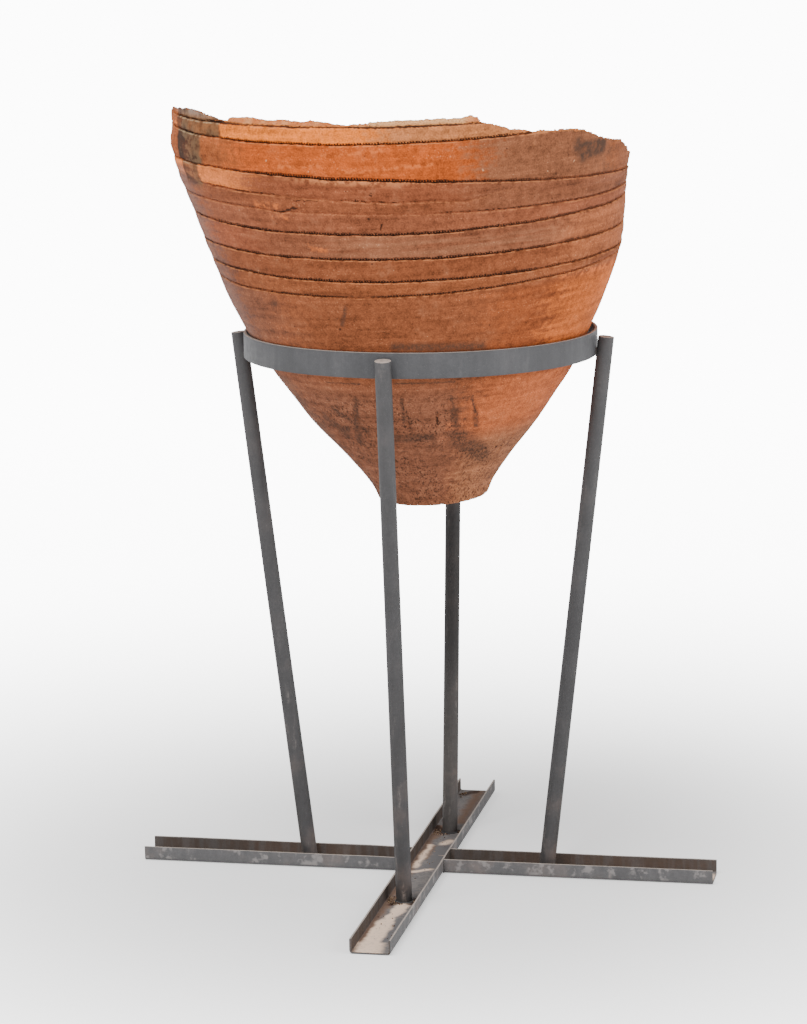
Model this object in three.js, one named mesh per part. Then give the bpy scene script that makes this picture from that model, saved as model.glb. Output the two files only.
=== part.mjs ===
import * as THREE from 'three';

// The lower two thirds of a large clay storage jar, broken off at its belly, held up by a
// welded steel stand. The jar has a narrow flat foot, a steep cone that opens to a wide
// belly, and rings of grooves that a cord pressed into the wet clay. It hangs by its cone
// in a flat-bar hoop. The hoop is carried by four round legs that lean outward as they
// rise, and the legs stand in a cross of steel channel on the floor.
//
// Lengths are in millimetres. +Z is up, +X is right and -Y is toward the front. The origin
// is on the floor at the middle of the cross. Angles are in degrees from +X round by the
// back, so the front of the jar is at 270.

// Cross of channel on the floor
const ARM_SIDE = 500;
const ARM_LONG = 488;
const CHANNEL_WIDTH = 68;
const CHANNEL_HEIGHT = 25;
const CHANNEL_WALL = 3;
const CHANNEL_INSIDE_CORNER = 3;

// Hoop and legs
const HOOP_TOP = 945;
const BAR_HEIGHT = 42;
const BAR_THICKNESS = 5;
const LEG_DIAMETER = 26.9;
const LEG_FOOT_RADIUS = 209;
const LEG_TOP_DROP = 10;

// Space left between pieces that touch
const CLEARANCE = 0.3;

// How the jar sits: the height up its own axis where the hoop's top edge meets it, how far
// its middle is from the middle of the hoop there, and how far it leans
const SEAT_HEIGHT = 288;
const SEAT_SHIFT = 4.6;
const LEAN_RIGHT = -2.4;
const LEAN_BACK = -2;

// Clay
const WALL = 28;
const FLOOR_THICKNESS = 46;
const FLOOR_ROUND = 16;
const FOOT_ROUND = 4;
const GROOVE_WIDTH = 9;
const GROOVE_DEPTH = 3.5;
const BAND_SWELL = 1.6;

// Outer outline: height above the foot and radius
const OUTLINE = [
  [0, 92], [25, 103], [60, 128], [130, 186], [180, 223], [230, 255.5], [280, 283],
  [330, 307.5], [400, 335], [530, 365], [620, 385], [660, 387], [740, 388],
];

// How far the hand-built wall has drifted to the right of the jar's axis at a height
const DRIFT = [
  [0, 6], [130, 8.5], [220, 8], [288, 6], [360, 6.5], [430, 6], [580, -7], [700, 1],
];

// Height of each cord groove at the left, front, right and back of the jar
const GROOVES = [
  [414, 395, 410, 406],
  [442, 420, 422, 421],
  [477, 457, 457, 461],
  [523, 498, 502, 497],
  [558, 532, 521, 532],
  [608, 588, 547, 560],
  [667, 644, 645, 655],
  [686, 671, 662, 679],
];

// Broken top edge: between these two angles the jar parted along its top groove, and the
// inner half of the wall was left standing as a ridge with one gap in it
const PARTED = [232, 298];
const RIDGE_GAP = [262, 272];
const RIDGE_HEIGHT = 5;
const RIDGE_UNEVEN = 0.25;

// How deep in the wall, from 0 at its outer face to 1 at its inner, the ridge starts and tops
const RIDGE_FOOT = 0.35;
const RIDGE_CREST = 0.45;

// Everywhere else the edge runs through these angles and heights, with a ragged line
const EDGE = [
  [298, 664], [305, 656], [310, 644], [316, 640], [325, 635], [331, 626], [338, 612],
  [347, 603], [354, 586], [360, 571], [375, 560], [395, 552], [420, 532], [460, 522],
  [490, 534], [510, 562], [525, 615], [540, 670], [551, 689], [560, 692], [573, 691],
  [583, 685], [592, 679],
];
const EDGE_RAGGED = 2;

// Fineness of the mesh
const COLUMNS = 72;
const CONE_ROWS = 13;
const INSIDE_ROWS = 12;
const LEG_SIDES = 24;
const CORNER_STEPS = 5;
const LEAN_ROUNDS = 8;

const FULL_TURN = 360;
const { degToRad, lerp, clamp } = THREE.MathUtils;

// Value of a table of [place, value] pairs at a place, on a smooth curve through them
function curveAt(table, place) {
  const last = table.length - 1;
  let low = 0;
  while (low < last - 1 && table[low + 1][0] < place) low += 1;
  const [x0, y0] = table[low];
  const [x1, y1] = table[low + 1];
  const slope = (y1 - y0) / (x1 - x0);
  const slopeAt = (k) => {
    if (k === 0 || k === last) return slope;
    return (table[k + 1][1] - table[k - 1][1]) / (table[k + 1][0] - table[k - 1][0]);
  };
  const t = clamp((place - x0) / (x1 - x0), 0, 1);
  const start = (slopeAt(low) - slope) * (x1 - x0);
  const end = (slopeAt(low + 1) - slope) * (x1 - x0);
  return lerp(y0, y1, t) + t * (1 - t) * (start * (1 - t) - end * t);
}

// Height of a groove at an angle, from its heights at the four quarters
function grooveAt([left, front, right, back], degrees) {
  const angle = degToRad(degrees);
  return (
    (left + front + right + back) / 4
    + ((right - left) / 2) * Math.cos(angle)
    + ((back - front) / 2) * Math.sin(angle)
    + ((left + right - front - back) / 4) * Math.cos(2 * angle)
  );
}

// Uneven line between -1 and 1 that closes on itself round the jar
function raggedAt(degrees) {
  const angle = degToRad(degrees);
  return 0.6 * Math.sin(11 * angle + 1) + 0.4 * Math.sin(19 * angle + 4);
}

// Height of the outer face at the broken edge, and how much higher the inner half stands
function edgeAt(degrees) {
  const [from, to] = PARTED;
  const around = degrees < from ? degrees + FULL_TURN : degrees;
  if (around >= from && around <= to) {
    const inGap = around >= RIDGE_GAP[0] && around <= RIDGE_GAP[1];
    const uneven = 1 + RIDGE_UNEVEN * raggedAt(degrees);
    return {
      outer: grooveAt(GROOVES[GROOVES.length - 1], degrees),
      rise: inGap ? 0 : RIDGE_HEIGHT * uneven,
    };
  }
  return {
    outer: curveAt(EDGE, around) + EDGE_RAGGED * raggedAt(degrees),
    rise: EDGE_RAGGED * raggedAt(degrees * 2),
  };
}

// How far the surface stands out from the plain outline: hollow in a groove, and a little
// swollen between two grooves
function reliefAt(degrees, height) {
  const levels = GROOVES.map((groove) => grooveAt(groove, degrees));
  let relief = 0;
  levels.forEach((level, index) => {
    const off = Math.abs(height - level) / (GROOVE_WIDTH / 2);
    relief -= GROOVE_DEPTH * Math.max(0, 1 - off);
    const next = levels[index + 1];
    if (height > level && height < next) {
      relief += BAND_SWELL * Math.sin((Math.PI * (height - level)) / (next - level));
    }
  });
  return relief;
}

// Point of the jar in its own frame, with its foot at the origin and its axis along +Z
function jarPoint(degrees, height, radius) {
  const angle = degToRad(degrees);
  return new THREE.Vector3(
    curveAt(DRIFT, height) + radius * Math.cos(angle),
    radius * Math.sin(angle),
    height,
  );
}

function outerPoint(degrees, height) {
  return jarPoint(degrees, height, curveAt(OUTLINE, height) + reliefAt(degrees, height));
}

// Radius of a place in the wall: depth is 0 at the outer face and 1 at the inner face
function wallRadius(height, depth) {
  const spread = curveAt(OUTLINE, height + WALL / 2) - curveAt(OUTLINE, height - WALL / 2);
  const slope = spread / WALL;
  return curveAt(OUTLINE, height) - depth * WALL * Math.hypot(1, slope);
}

// Heights of the outer rows at an angle, from the foot up, before the break cuts them off
function outerHeights(degrees) {
  const levels = GROOVES.map((groove) => grooveAt(groove, degrees));
  const heights = [];
  for (let k = 0; k < CONE_ROWS; k += 1) {
    heights.push(lerp(FOOT_ROUND, levels[0] - GROOVE_WIDTH / 2, k / CONE_ROWS));
  }
  levels.forEach((level, index) => {
    heights.push(level - GROOVE_WIDTH / 2, level, level + GROOVE_WIDTH / 2);
    if (index < levels.length - 1) heights.push((level + levels[index + 1]) / 2);
  });
  return heights;
}

// Closed skin of the jar. Columns run up the outside, over the broken edge and down the
// inside. Where the break cuts a row off, the row shares the corner at the edge.
function jarGeometry() {
  const positions = [];
  const addPoint = (point) => {
    positions.push(point.x, point.y, point.z);
    return positions.length / 3 - 1;
  };

  const underside = addPoint(jarPoint(0, 0, 0));
  const floor = addPoint(jarPoint(0, FLOOR_THICKNESS, 0));
  const columns = [];
  for (let j = 0; j < COLUMNS; j += 1) {
    const degrees = (FULL_TURN * j) / COLUMNS;
    const { outer, rise } = edgeAt(degrees);
    const lipHeight = outer + rise;
    const edge = addPoint(outerPoint(degrees, outer));
    const column = [addPoint(jarPoint(degrees, 0, OUTLINE[0][1] - FOOT_ROUND))];
    outerHeights(degrees).forEach((height) => {
      const standing = height < outer - GROOVE_WIDTH / 4;
      column.push(standing ? addPoint(outerPoint(degrees, height)) : edge);
    });
    column.push(edge);
    column.push(addPoint(jarPoint(degrees, outer, wallRadius(outer, RIDGE_FOOT))));
    column.push(addPoint(jarPoint(degrees, lipHeight, wallRadius(lipHeight, RIDGE_CREST))));
    const insideFoot = FLOOR_THICKNESS + FLOOR_ROUND;
    for (let k = 0; k <= INSIDE_ROWS; k += 1) {
      const height = lerp(lipHeight, insideFoot, k / INSIDE_ROWS);
      column.push(addPoint(jarPoint(degrees, height, wallRadius(height, 1))));
    }
    const floorRadius = wallRadius(insideFoot, 1) - FLOOR_ROUND;
    column.push(addPoint(jarPoint(degrees, FLOOR_THICKNESS, floorRadius)));
    columns.push(column);
  }

  const indices = [];
  const addFace = (a, b, c) => {
    if (a !== b && b !== c && c !== a) indices.push(a, b, c);
  };
  columns.forEach((column, j) => {
    const next = columns[(j + 1) % COLUMNS];
    const top = column.length - 1;
    addFace(underside, next[0], column[0]);
    for (let i = 0; i < top; i += 1) {
      addFace(column[i], next[i], next[i + 1]);
      addFace(column[i], next[i + 1], column[i + 1]);
    }
    addFace(floor, column[top], next[top]);
  });

  const geometry = new THREE.BufferGeometry();
  geometry.setAttribute('position', new THREE.Float32BufferAttribute(positions, 3));
  geometry.setIndex(indices);
  geometry.computeVertexNormals();
  return geometry;
}

// Move the jar from its own frame to its place in the hoop
function seatJar(geometry) {
  const axis = new THREE.Vector3(
    Math.tan(degToRad(LEAN_RIGHT)),
    Math.tan(degToRad(LEAN_BACK)),
    1,
  ).normalize();
  const turn = new THREE.Quaternion().setFromUnitVectors(new THREE.Vector3(0, 0, 1), axis);
  const seat = jarPoint(0, SEAT_HEIGHT, 0).applyQuaternion(turn);
  const foot = new THREE.Vector3(SEAT_SHIFT, 0, HOOP_TOP).sub(seat);
  geometry.applyQuaternion(turn);
  geometry.translate(foot.x, foot.y, foot.z);
  return geometry;
}

// Farthest reach of a solid from the vertical through the origin, where its edges cross
// the level of the hoop's top edge
function reachAtHoop(geometry) {
  const position = geometry.getAttribute('position');
  const index = geometry.getIndex();
  const from = new THREE.Vector3();
  const to = new THREE.Vector3();
  let reach = 0;
  for (let k = 0; k < index.count; k += 3) {
    for (let side = 0; side < 3; side += 1) {
      from.fromBufferAttribute(position, index.getX(k + side));
      to.fromBufferAttribute(position, index.getX(k + ((side + 1) % 3)));
      if ((from.z - HOOP_TOP) * (to.z - HOOP_TOP) < 0) {
        from.lerp(to, (HOOP_TOP - from.z) / (to.z - from.z));
        reach = Math.max(reach, Math.hypot(from.x, from.y));
      }
    }
  }
  return reach;
}

// Flat bar bent into a hoop round the vertical through the origin
function hoopGeometry(innerRadius) {
  const outerRadius = innerRadius + BAR_THICKNESS;
  const bottom = HOOP_TOP - BAR_HEIGHT;
  const section = [
    new THREE.Vector2(innerRadius, bottom),
    new THREE.Vector2(outerRadius, bottom),
    new THREE.Vector2(outerRadius, HOOP_TOP),
    new THREE.Vector2(innerRadius, HOOP_TOP),
    new THREE.Vector2(innerRadius, bottom),
  ];
  return new THREE.LatheGeometry(section, COLUMNS).rotateX(Math.PI / 2);
}

// Round leg on the +X side: its foot cut level on the channel's floor, its top cut square,
// leaning out so that its side meets the hoop's lower outer edge
function legGeometry(hoopOuterRadius) {
  const radius = LEG_DIAMETER / 2;
  const footLevel = CHANNEL_WALL + CLEARANCE;
  const meetingHeight = HOOP_TOP - BAR_HEIGHT - footLevel;
  let lean = 0;
  for (let round = 0; round < LEAN_ROUNDS; round += 1) {
    const axisRadius = hoopOuterRadius + (radius + CLEARANCE) / Math.cos(lean);
    lean = Math.atan((axisRadius - LEG_FOOT_RADIUS) / meetingHeight);
  }
  const length = (HOOP_TOP - LEG_TOP_DROP - footLevel) / Math.cos(lean);
  const geometry = new THREE.CylinderGeometry(radius, radius, length, LEG_SIDES);
  geometry.rotateX(Math.PI / 2);
  geometry.translate(0, 0, length / 2);
  geometry.rotateY(lean);
  geometry.translate(LEG_FOOT_RADIUS, 0, footLevel);
  const position = geometry.getAttribute('position');
  for (let i = 0; i < position.count; i += 1) {
    const above = position.getZ(i) - footLevel;
    if (above < length / 2) {
      position.setX(i, position.getX(i) - above * Math.tan(lean));
      position.setZ(i, footLevel);
    }
  }
  return geometry;
}

// Outline of the channel's section, open side up
function channelShape() {
  const half = CHANNEL_WIDTH / 2;
  const outside = CHANNEL_INSIDE_CORNER + CHANNEL_WALL;
  const quarter = Math.PI / 2;
  const shape = new THREE.Shape();
  shape.moveTo(outside - half, 0);
  shape.lineTo(half - outside, 0);
  shape.absarc(half - outside, outside, outside, -quarter, 0, false);
  shape.lineTo(half, CHANNEL_HEIGHT);
  shape.lineTo(half - CHANNEL_WALL, CHANNEL_HEIGHT);
  shape.lineTo(half - CHANNEL_WALL, outside);
  shape.absarc(half - outside, outside, CHANNEL_INSIDE_CORNER, 0, -quarter, true);
  shape.lineTo(outside - half, CHANNEL_WALL);
  shape.absarc(outside - half, outside, CHANNEL_INSIDE_CORNER, -quarter, -2 * quarter, true);
  shape.lineTo(CHANNEL_WALL - half, CHANNEL_HEIGHT);
  shape.lineTo(-half, CHANNEL_HEIGHT);
  shape.lineTo(-half, outside);
  shape.absarc(outside - half, outside, outside, 2 * quarter, 3 * quarter, false);
  return shape;
}

// Channel lying along +X from one place to another
function channelGeometry(from, to) {
  const geometry = new THREE.ExtrudeGeometry(channelShape(), {
    depth: to - from,
    bevelEnabled: false,
    curveSegments: CORNER_STEPS,
  });
  geometry.rotateX(Math.PI / 2);
  geometry.rotateZ(Math.PI / 2);
  geometry.translate(from, 0, 0);
  return geometry;
}

const clay = () => new THREE.MeshStandardMaterial({
  color: 0xa5653c,
  roughness: 0.9,
  metalness: 0,
});
const paint = () => new THREE.MeshStandardMaterial({
  color: 0x707276,
  roughness: 0.6,
  metalness: 0.1,
});

const part = new THREE.Group();
function addPiece(name, geometry, material, quarterTurns = 0) {
  const mesh = new THREE.Mesh(geometry, material);
  mesh.name = name;
  mesh.rotation.z = (quarterTurns * Math.PI) / 2;
  part.add(mesh);
  return mesh;
}

const jar = addPiece('pithos', seatJar(jarGeometry()), clay());

const hoopInner = (reachAtHoop(jar.geometry) + CLEARANCE) / Math.cos(Math.PI / COLUMNS);
addPiece('ring_band', hoopGeometry(hoopInner), paint());

['leg_right', 'leg_back', 'leg_left', 'leg_front'].forEach((name, quarter) => {
  addPiece(name, legGeometry(hoopInner + BAR_THICKNESS), paint(), quarter);
});

const armStart = CHANNEL_WIDTH / 2 + CLEARANCE;
addPiece('channel_long', channelGeometry(-ARM_LONG, ARM_LONG), paint(), 1);
addPiece('channel_right', channelGeometry(armStart, ARM_SIDE), paint());
addPiece('channel_left', channelGeometry(armStart, ARM_SIDE), paint(), 2);

export default part;
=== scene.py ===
# %% [markdown]
# # A broken pithos in its steel stand
#
# A pithos is a storage jar nearly as tall as the cook who used it. Only the lower two
# thirds of this one are left. The break runs round its belly, partly along a groove that
# was pressed into the wet clay with a twisted cord. A welded stand of flat bar, round bar
# and channel holds the jar by its cone.
#
# The plain solids are already packed with their real sizes. This lesson dresses them: the
# solids are loaded as a fixed frame, and finer pieces are built in the same places, in
# metres.

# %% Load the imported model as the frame
import math

import bmesh
import bpy
import numpy as np
from mathutils import Matrix, Vector, noise


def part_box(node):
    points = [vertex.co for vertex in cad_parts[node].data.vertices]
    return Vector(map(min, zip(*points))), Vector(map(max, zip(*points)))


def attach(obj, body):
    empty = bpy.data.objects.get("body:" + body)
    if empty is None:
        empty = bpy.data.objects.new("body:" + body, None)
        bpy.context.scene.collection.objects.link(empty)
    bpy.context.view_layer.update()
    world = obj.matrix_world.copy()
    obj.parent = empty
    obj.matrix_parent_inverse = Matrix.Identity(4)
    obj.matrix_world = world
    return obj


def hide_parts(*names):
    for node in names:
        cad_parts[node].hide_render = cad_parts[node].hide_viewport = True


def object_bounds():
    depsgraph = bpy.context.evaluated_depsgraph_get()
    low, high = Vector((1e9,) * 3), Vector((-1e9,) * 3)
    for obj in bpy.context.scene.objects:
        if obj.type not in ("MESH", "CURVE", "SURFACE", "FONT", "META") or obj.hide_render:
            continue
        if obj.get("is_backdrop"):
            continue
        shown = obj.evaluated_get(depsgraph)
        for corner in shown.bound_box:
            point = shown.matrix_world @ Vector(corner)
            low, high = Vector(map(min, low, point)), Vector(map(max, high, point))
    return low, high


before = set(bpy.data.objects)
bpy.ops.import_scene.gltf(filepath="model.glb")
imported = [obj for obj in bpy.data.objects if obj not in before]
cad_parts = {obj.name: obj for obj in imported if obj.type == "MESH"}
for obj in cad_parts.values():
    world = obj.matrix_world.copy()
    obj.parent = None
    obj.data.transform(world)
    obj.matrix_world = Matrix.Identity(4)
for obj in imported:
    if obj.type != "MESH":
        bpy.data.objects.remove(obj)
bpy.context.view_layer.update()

# %% [markdown]
# ## Small helpers
#
# Node trees are easier to read as formulas than as long lists of links, so a helper class
# adds a node and joins it in one call. The next helpers turn points and faces into an
# object at the origin. The last hangs every finished piece on the root body, hides the
# plain solids it stands for and prints its triangles and its box.


# %% Helper: write a node tree like a formula
class Nodes:
    def __init__(self, tree):
        self.tree = tree

    def add(self, kind, inputs=None, **settings):
        made = self.tree.nodes.new(kind)
        for name, value in settings.items():
            setattr(made, name, value)
        for key, value in (inputs or {}).items():
            self.feed(made.inputs[key], value)
        return made

    def feed(self, socket, value):
        if isinstance(value, bpy.types.NodeSocket):
            self.tree.links.new(value, socket)
        else:
            socket.default_value = value

    def math(self, operation, *values, clamp=False):
        return self.add("ShaderNodeMath", dict(enumerate(values)), operation=operation,
                        use_clamp=clamp).outputs[0]

    def chain(self, operation, values):
        total = values[0]
        for value in values[1:]:
            total = self.math(operation, total, value)
        return total

    def plus(self, *values):
        return self.chain("ADD", values)

    def minus(self, *values):
        return self.chain("SUBTRACT", values)

    def times(self, *values):
        return self.chain("MULTIPLY", values)

    def most(self, *values):
        return self.chain("MAXIMUM", values)

    def vector(self, operation, *values):
        return self.add("ShaderNodeVectorMath", dict(enumerate(values)),
                        operation=operation).outputs[0]

    def measure(self, operation, *values):
        return self.add("ShaderNodeVectorMath", dict(enumerate(values)),
                        operation=operation).outputs["Value"]

    def scaled(self, place, factor):
        return self.add("ShaderNodeVectorMath", {0: place, "Scale": factor},
                        operation="SCALE").outputs[0]

    def combine(self, x, y, z):
        return self.add("ShaderNodeCombineXYZ", {0: x, 1: y, 2: z}).outputs[0]

    def separate(self, place):
        return self.add("ShaderNodeSeparateXYZ", {0: place}).outputs

    def place(self):
        return self.add("ShaderNodeTexCoord").outputs["Object"]

    def noise(self, place, scale, detail=3.0, roughness=0.5):
        sizes = {"Vector": place, "Scale": scale, "Detail": detail, "Roughness": roughness}
        return self.add("ShaderNodeTexNoise", sizes).outputs[0]

    def stretched(self, place, scales, detail=4.0, roughness=0.6):
        # Noise with another scale along each axis
        return self.noise(self.vector("MULTIPLY", place, scales), 1.0, detail, roughness)

    def shift(self, place, scale, size, detail=2.0):
        # A small uneven shift at each place, at most half the size along each axis
        sizes = {"Vector": place, "Scale": scale, "Detail": detail}
        colours = self.add("ShaderNodeTexNoise", sizes).outputs["Color"]
        return self.scaled(self.vector("SUBTRACT", colours, (0.5, 0.5, 0.5)), size)

    def cells(self, place, scale):
        return self.add("ShaderNodeTexVoronoi", {"Vector": place, "Scale": scale}).outputs[0]

    def step(self, value, low, high, start=0.0, end=1.0):
        # start where value is at low, end where it is at high, and smooth between them
        sizes = {"Value": value, "From Min": low, "From Max": high, "To Min": start,
                 "To Max": end}
        return self.add("ShaderNodeMapRange", sizes, interpolation_type="SMOOTHSTEP").outputs[0]

    def mix(self, share, first, second):
        return self.add("ShaderNodeMix", {0: share, 6: first, 7: second},
                        data_type="RGBA").outputs[2]

    def mark(self, name, kind="FLOAT"):
        # A mark that each point of a mesh carries, inside a Geometry Nodes tree
        return self.add("GeometryNodeInputNamedAttribute", {"Name": name},
                        data_type=kind).outputs["Attribute"]

    def surface(self, looks, bumps=None, strength=1.0, distance=1.0):
        if bumps:
            bump = self.add("ShaderNodeBump", {"Height": bumps, "Strength": strength,
                                               "Distance": distance})
            looks = {**looks, "Normal": bump.outputs[0]}
        shader = self.add("ShaderNodeBsdfPrincipled", looks)
        self.add("ShaderNodeOutputMaterial", {"Surface": shader.outputs[0]})


def new_material(name):
    material = bpy.data.materials.new(name)
    material.use_nodes = True
    material.node_tree.nodes.clear()
    return material, Nodes(material.node_tree)


# %% Helper: turn points and faces into an object
def mesh_object(name, points, faces, edges=()):
    mesh = bpy.data.meshes.new(name)
    mesh.from_pydata([tuple(p) for p in points], list(edges), [list(f) for f in faces])
    mesh.validate()
    mesh.polygons.foreach_set("use_smooth", [True] * len(mesh.polygons))
    made = bpy.data.objects.new(name, mesh)
    bpy.context.scene.collection.objects.link(made)
    return made


def ring_faces(rings, sides):
    # The faces between closed rings of points that are listed one after the other
    return [(i * sides + j, i * sides + (j + 1) % sides,
             (i + 1) * sides + (j + 1) % sides, (i + 1) * sides + j)
            for i in range(rings - 1) for j in range(sides)]


def triangles(piece):
    return sum(len(p.vertices) - 2 for p in piece.data.polygons)


# %% Helper: hand a finished piece over to the frame
def hand_over(piece, slot, *stands_for):
    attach(piece, "root")
    if stands_for:
        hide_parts(*stands_for)
    low = [min(v.co[k] for v in piece.data.vertices) for k in range(3)]
    high = [max(v.co[k] for v in piece.data.vertices) for k in range(3)]
    print(f"{piece.name}: {triangles(piece)} triangles,",
          [round(c, 3) for c in low], "to", [round(c, 3) for c in high])


# %% [markdown]
# ## The pithos as a rule
#
# The real jar was coiled up by hand and scraped smooth, so it is nearly a body of
# revolution: a radius for each height, a slight sway to one side, and rings of grooves
# that wander a little. That is a rule, and a rule is easier to correct than a sculpted
# mesh. The tables below are the ones the plain solid was made from, in millimetres, with
# angles in degrees from +X round by the back, so that the front is at 270.

# %% The jar's sizes
MM = 0.001
FULL_TURN = 360
FRONT = 270
WALL = 28
FLOOR_THICKNESS = 46
FLOOR_ROUND = 16
FOOT_ROUND = 4
BAND_SWELL = 1.6
GROOVE_DEPTH = 3.4

OUTLINE = [
    (0, 92), (25, 103), (60, 128), (130, 186), (180, 223), (230, 255.5), (280, 283),
    (330, 307.5), (400, 335), (530, 365), (620, 385), (660, 387), (740, 388),
]
DRIFT = [
    (0, 6), (130, 8.5), (220, 8), (288, 6), (360, 6.5), (430, 6), (580, -7), (700, 1),
]

# Height of each groove at the left, front, right and back, from the lowest to the top.
# The sixth is a faint and broken one that the solid leaves out.
GROOVES = [
    (414, 395, 410, 406), (442, 420, 422, 421), (477, 457, 457, 461),
    (523, 498, 502, 497), (558, 532, 521, 532), (588, 553, 536, 546),
    (608, 588, 547, 560), (667, 644, 645, 655), (686, 671, 662, 679),
]
FAINT = 5

# %% The broken edge's sizes
PARTED = (232, 299.5)
RIDGE_GAP = (262, 272)
RIDGE_HEIGHT = 5
RIDGE_UNEVEN = 0.25
RIDGE_FOOT = 0.35
RIDGE_CREST = 0.45
EDGE = [
    (298, 664), (305, 656), (310, 644), (316, 640), (325, 635), (331, 626), (338, 612),
    (347, 603), (354, 586), (360, 571), (375, 560), (395, 552), (420, 532), (460, 522),
    (490, 534), (510, 562), (525, 615), (540, 668), (551, 681), (558, 687), (564, 690),
    (569, 695), (575, 697), (583, 692), (588, 685), (592, 679),
]
EDGE_RAGGED = 2

# At the left the skin stands highest and the break falls inward: angle, reach, fall
INWARD_FALL = (570, 40, 14)

# Where the jar parted, the groove's floor is left in front of the ridge, this much lower
LEDGE_DROP = 2


# %% A smooth curve through a table
def unit(values):
    return np.clip(values, 0, 1)


def curve_at(table, place):
    xs, ys = np.array(table, float).T
    slopes = np.diff(ys) / np.diff(xs)
    middle = (ys[2:] - ys[:-2]) / (xs[2:] - xs[:-2])
    at = np.concatenate([slopes[:1], middle, slopes[-1:]])
    low = np.clip(np.searchsorted(xs, place, side="left") - 1, 0, len(xs) - 2)
    width = xs[low + 1] - xs[low]
    t = unit((place - xs[low]) / width)
    start = (at[low] - slopes[low]) * width
    end = (at[low + 1] - slopes[low]) * width
    straight = ys[low] + (ys[low + 1] - ys[low]) * t
    return straight + t * (1 - t) * (start * (1 - t) - end * t)


def apart(degrees, middle):
    return np.abs((degrees - middle + FULL_TURN / 2) % FULL_TURN - FULL_TURN / 2)


def near(degrees, middle, reach):
    # 1 at the middle angle, falling smoothly to 0 at the reach on both sides
    off = apart(degrees, middle) / reach
    return np.where(off < 1, 0.5 + 0.5 * np.cos(np.pi * np.minimum(off, 1)), 0)


def wobble(degrees, waves, seed):
    # Uneven line between about -1 and 1 that closes on itself round the jar
    angle = np.radians(degrees)
    line = [noise.noise((waves * c, waves * s, seed), noise_basis="PERLIN_NEW")
            for c, s in zip(np.cos(angle).ravel(), np.sin(angle).ravel())]
    return 2 * np.reshape(line, np.shape(angle))


# %% [markdown]
# ## Where the cord went
#
# The potter wound a thin twisted cord round the jar to stop it slumping while it dried.
# Each turn left a groove with a steep upper side, which is in shadow, and a sloping lower
# lip, which catches the light. The cord lay slack in places: there the groove wanders or
# is only a fine line. One table says how strong each groove is along its way.

# %% Levels and strength of the grooves
CORD_WANDER = 0.9
FAINT_WANDER = 2.0
WANDER_WAVES = ((5, 0.65, 0), (24, 0.35, 20))
ROUGH_STEP = 0.35
ROUGH_WAVES = 130

# Places where a groove steps aside: groove, angle, reach in degrees, step in millimetres
ASIDE = [(FAINT, 308, 14, 15), (4, 247, 4, -2.5), (6, 263, 6, -2)]

# Strength along a groove: angle and share of the full depth
STRENGTH = {
    4: [(150, 0.7), (225, 0.5), (244, 0.45), (247, 0.7), (252, 0.45), (256, 0.35),
        (285, 0.35), (305, 0.65), (320, 0.9), (360, 0.9), (510, 0.7)],
    FAINT: [(150, 0), (216, 0), (224, 0.6), (236, 0.7), (248, 0.5), (251, 0.15),
            (262, 0.35), (268, 0.6), (282, 0.45), (296, 0.3), (312, 0), (510, 0)],
    6: [(150, 0.8), (236, 0.8), (250, 1.25), (286, 1.25), (300, 0.9), (510, 0.9)],
    0: [(150, 0.9), (255, 0.9), (262, 0.6), (266, 0.35), (272, 0.8), (300, 1), (335, 1),
        (346, 0.45), (360, 0.7), (510, 0.9)],
}


def level_at(index, degrees):
    left, front, right, back = GROOVES[index]
    angle = np.radians(degrees)
    level = (left + front + right + back) / 4 + (right - left) / 2 * np.cos(angle)
    level += (back - front) / 2 * np.sin(angle)
    level += (left + right - front - back) / 4 * np.cos(2 * angle)
    for groove, middle, reach, step in ASIDE:
        if groove == index:
            level = level + step * near(degrees, middle, reach)
    wander = FAINT_WANDER if index == FAINT else CORD_WANDER
    for waves, share, seed in WANDER_WAVES:
        level = level + share * wander * wobble(degrees, waves, index + seed)
    return level + ROUGH_STEP * wobble(degrees, ROUGH_WAVES, index + 80)


def strength_at(index, degrees):
    rough = 0.3 * wobble(degrees, ROUGH_WAVES, index + 90)
    if index not in STRENGTH:
        return 1 + 0.2 * wobble(degrees, 9, index + 40) + rough
    xs, ys = np.array(STRENGTH[index], float).T
    around = np.where(degrees < xs[0], degrees + FULL_TURN, degrees)
    return np.interp(around, xs, ys) * (1 + rough)


# %% Columns round the jar, closer together on the side that is seen most
FRONT_COLUMNS = 340
BACK_COLUMNS = 116
columns = np.concatenate([
    180 + 180 * np.arange(FRONT_COLUMNS) / FRONT_COLUMNS,
    180 * np.arange(BACK_COLUMNS) / BACK_COLUMNS,
])
levels = np.array([level_at(k, columns) for k in range(len(GROOVES))])
strengths = np.array([strength_at(k, columns) for k in range(len(GROOVES))])
print(len(columns), "columns; least space between grooves",
      round(float(np.diff(levels, axis=0).min()), 1), "mm")


# %% [markdown]
# ## The break
#
# A fired jar breaks like bread, not like glass: coarse clay crumbles along the edge. Where
# the crack followed the top groove, the outer half of the wall came off with the rim and
# the inner half was left standing as a low ridge of humps. Elsewhere the edge climbs and
# falls in small steps. Both are lines round the jar, so the height of the edge is a
# function of the angle, with finer unevenness added to the line of the plain solid.

# %% Height of the broken edge round the jar
CRUMBLE = 2.2
HUMPS = [(238.5, 5, 3.0), (249, 5, 2.5), (259, 4, 0.5), (273.5, 2, 1.0), (285, 15, 2.4),
         (297.6, 2, 4.0)]


def ragged(degrees):
    angle = np.radians(degrees)
    return 0.6 * np.sin(11 * angle + 1) + 0.4 * np.sin(19 * angle + 4)


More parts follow.
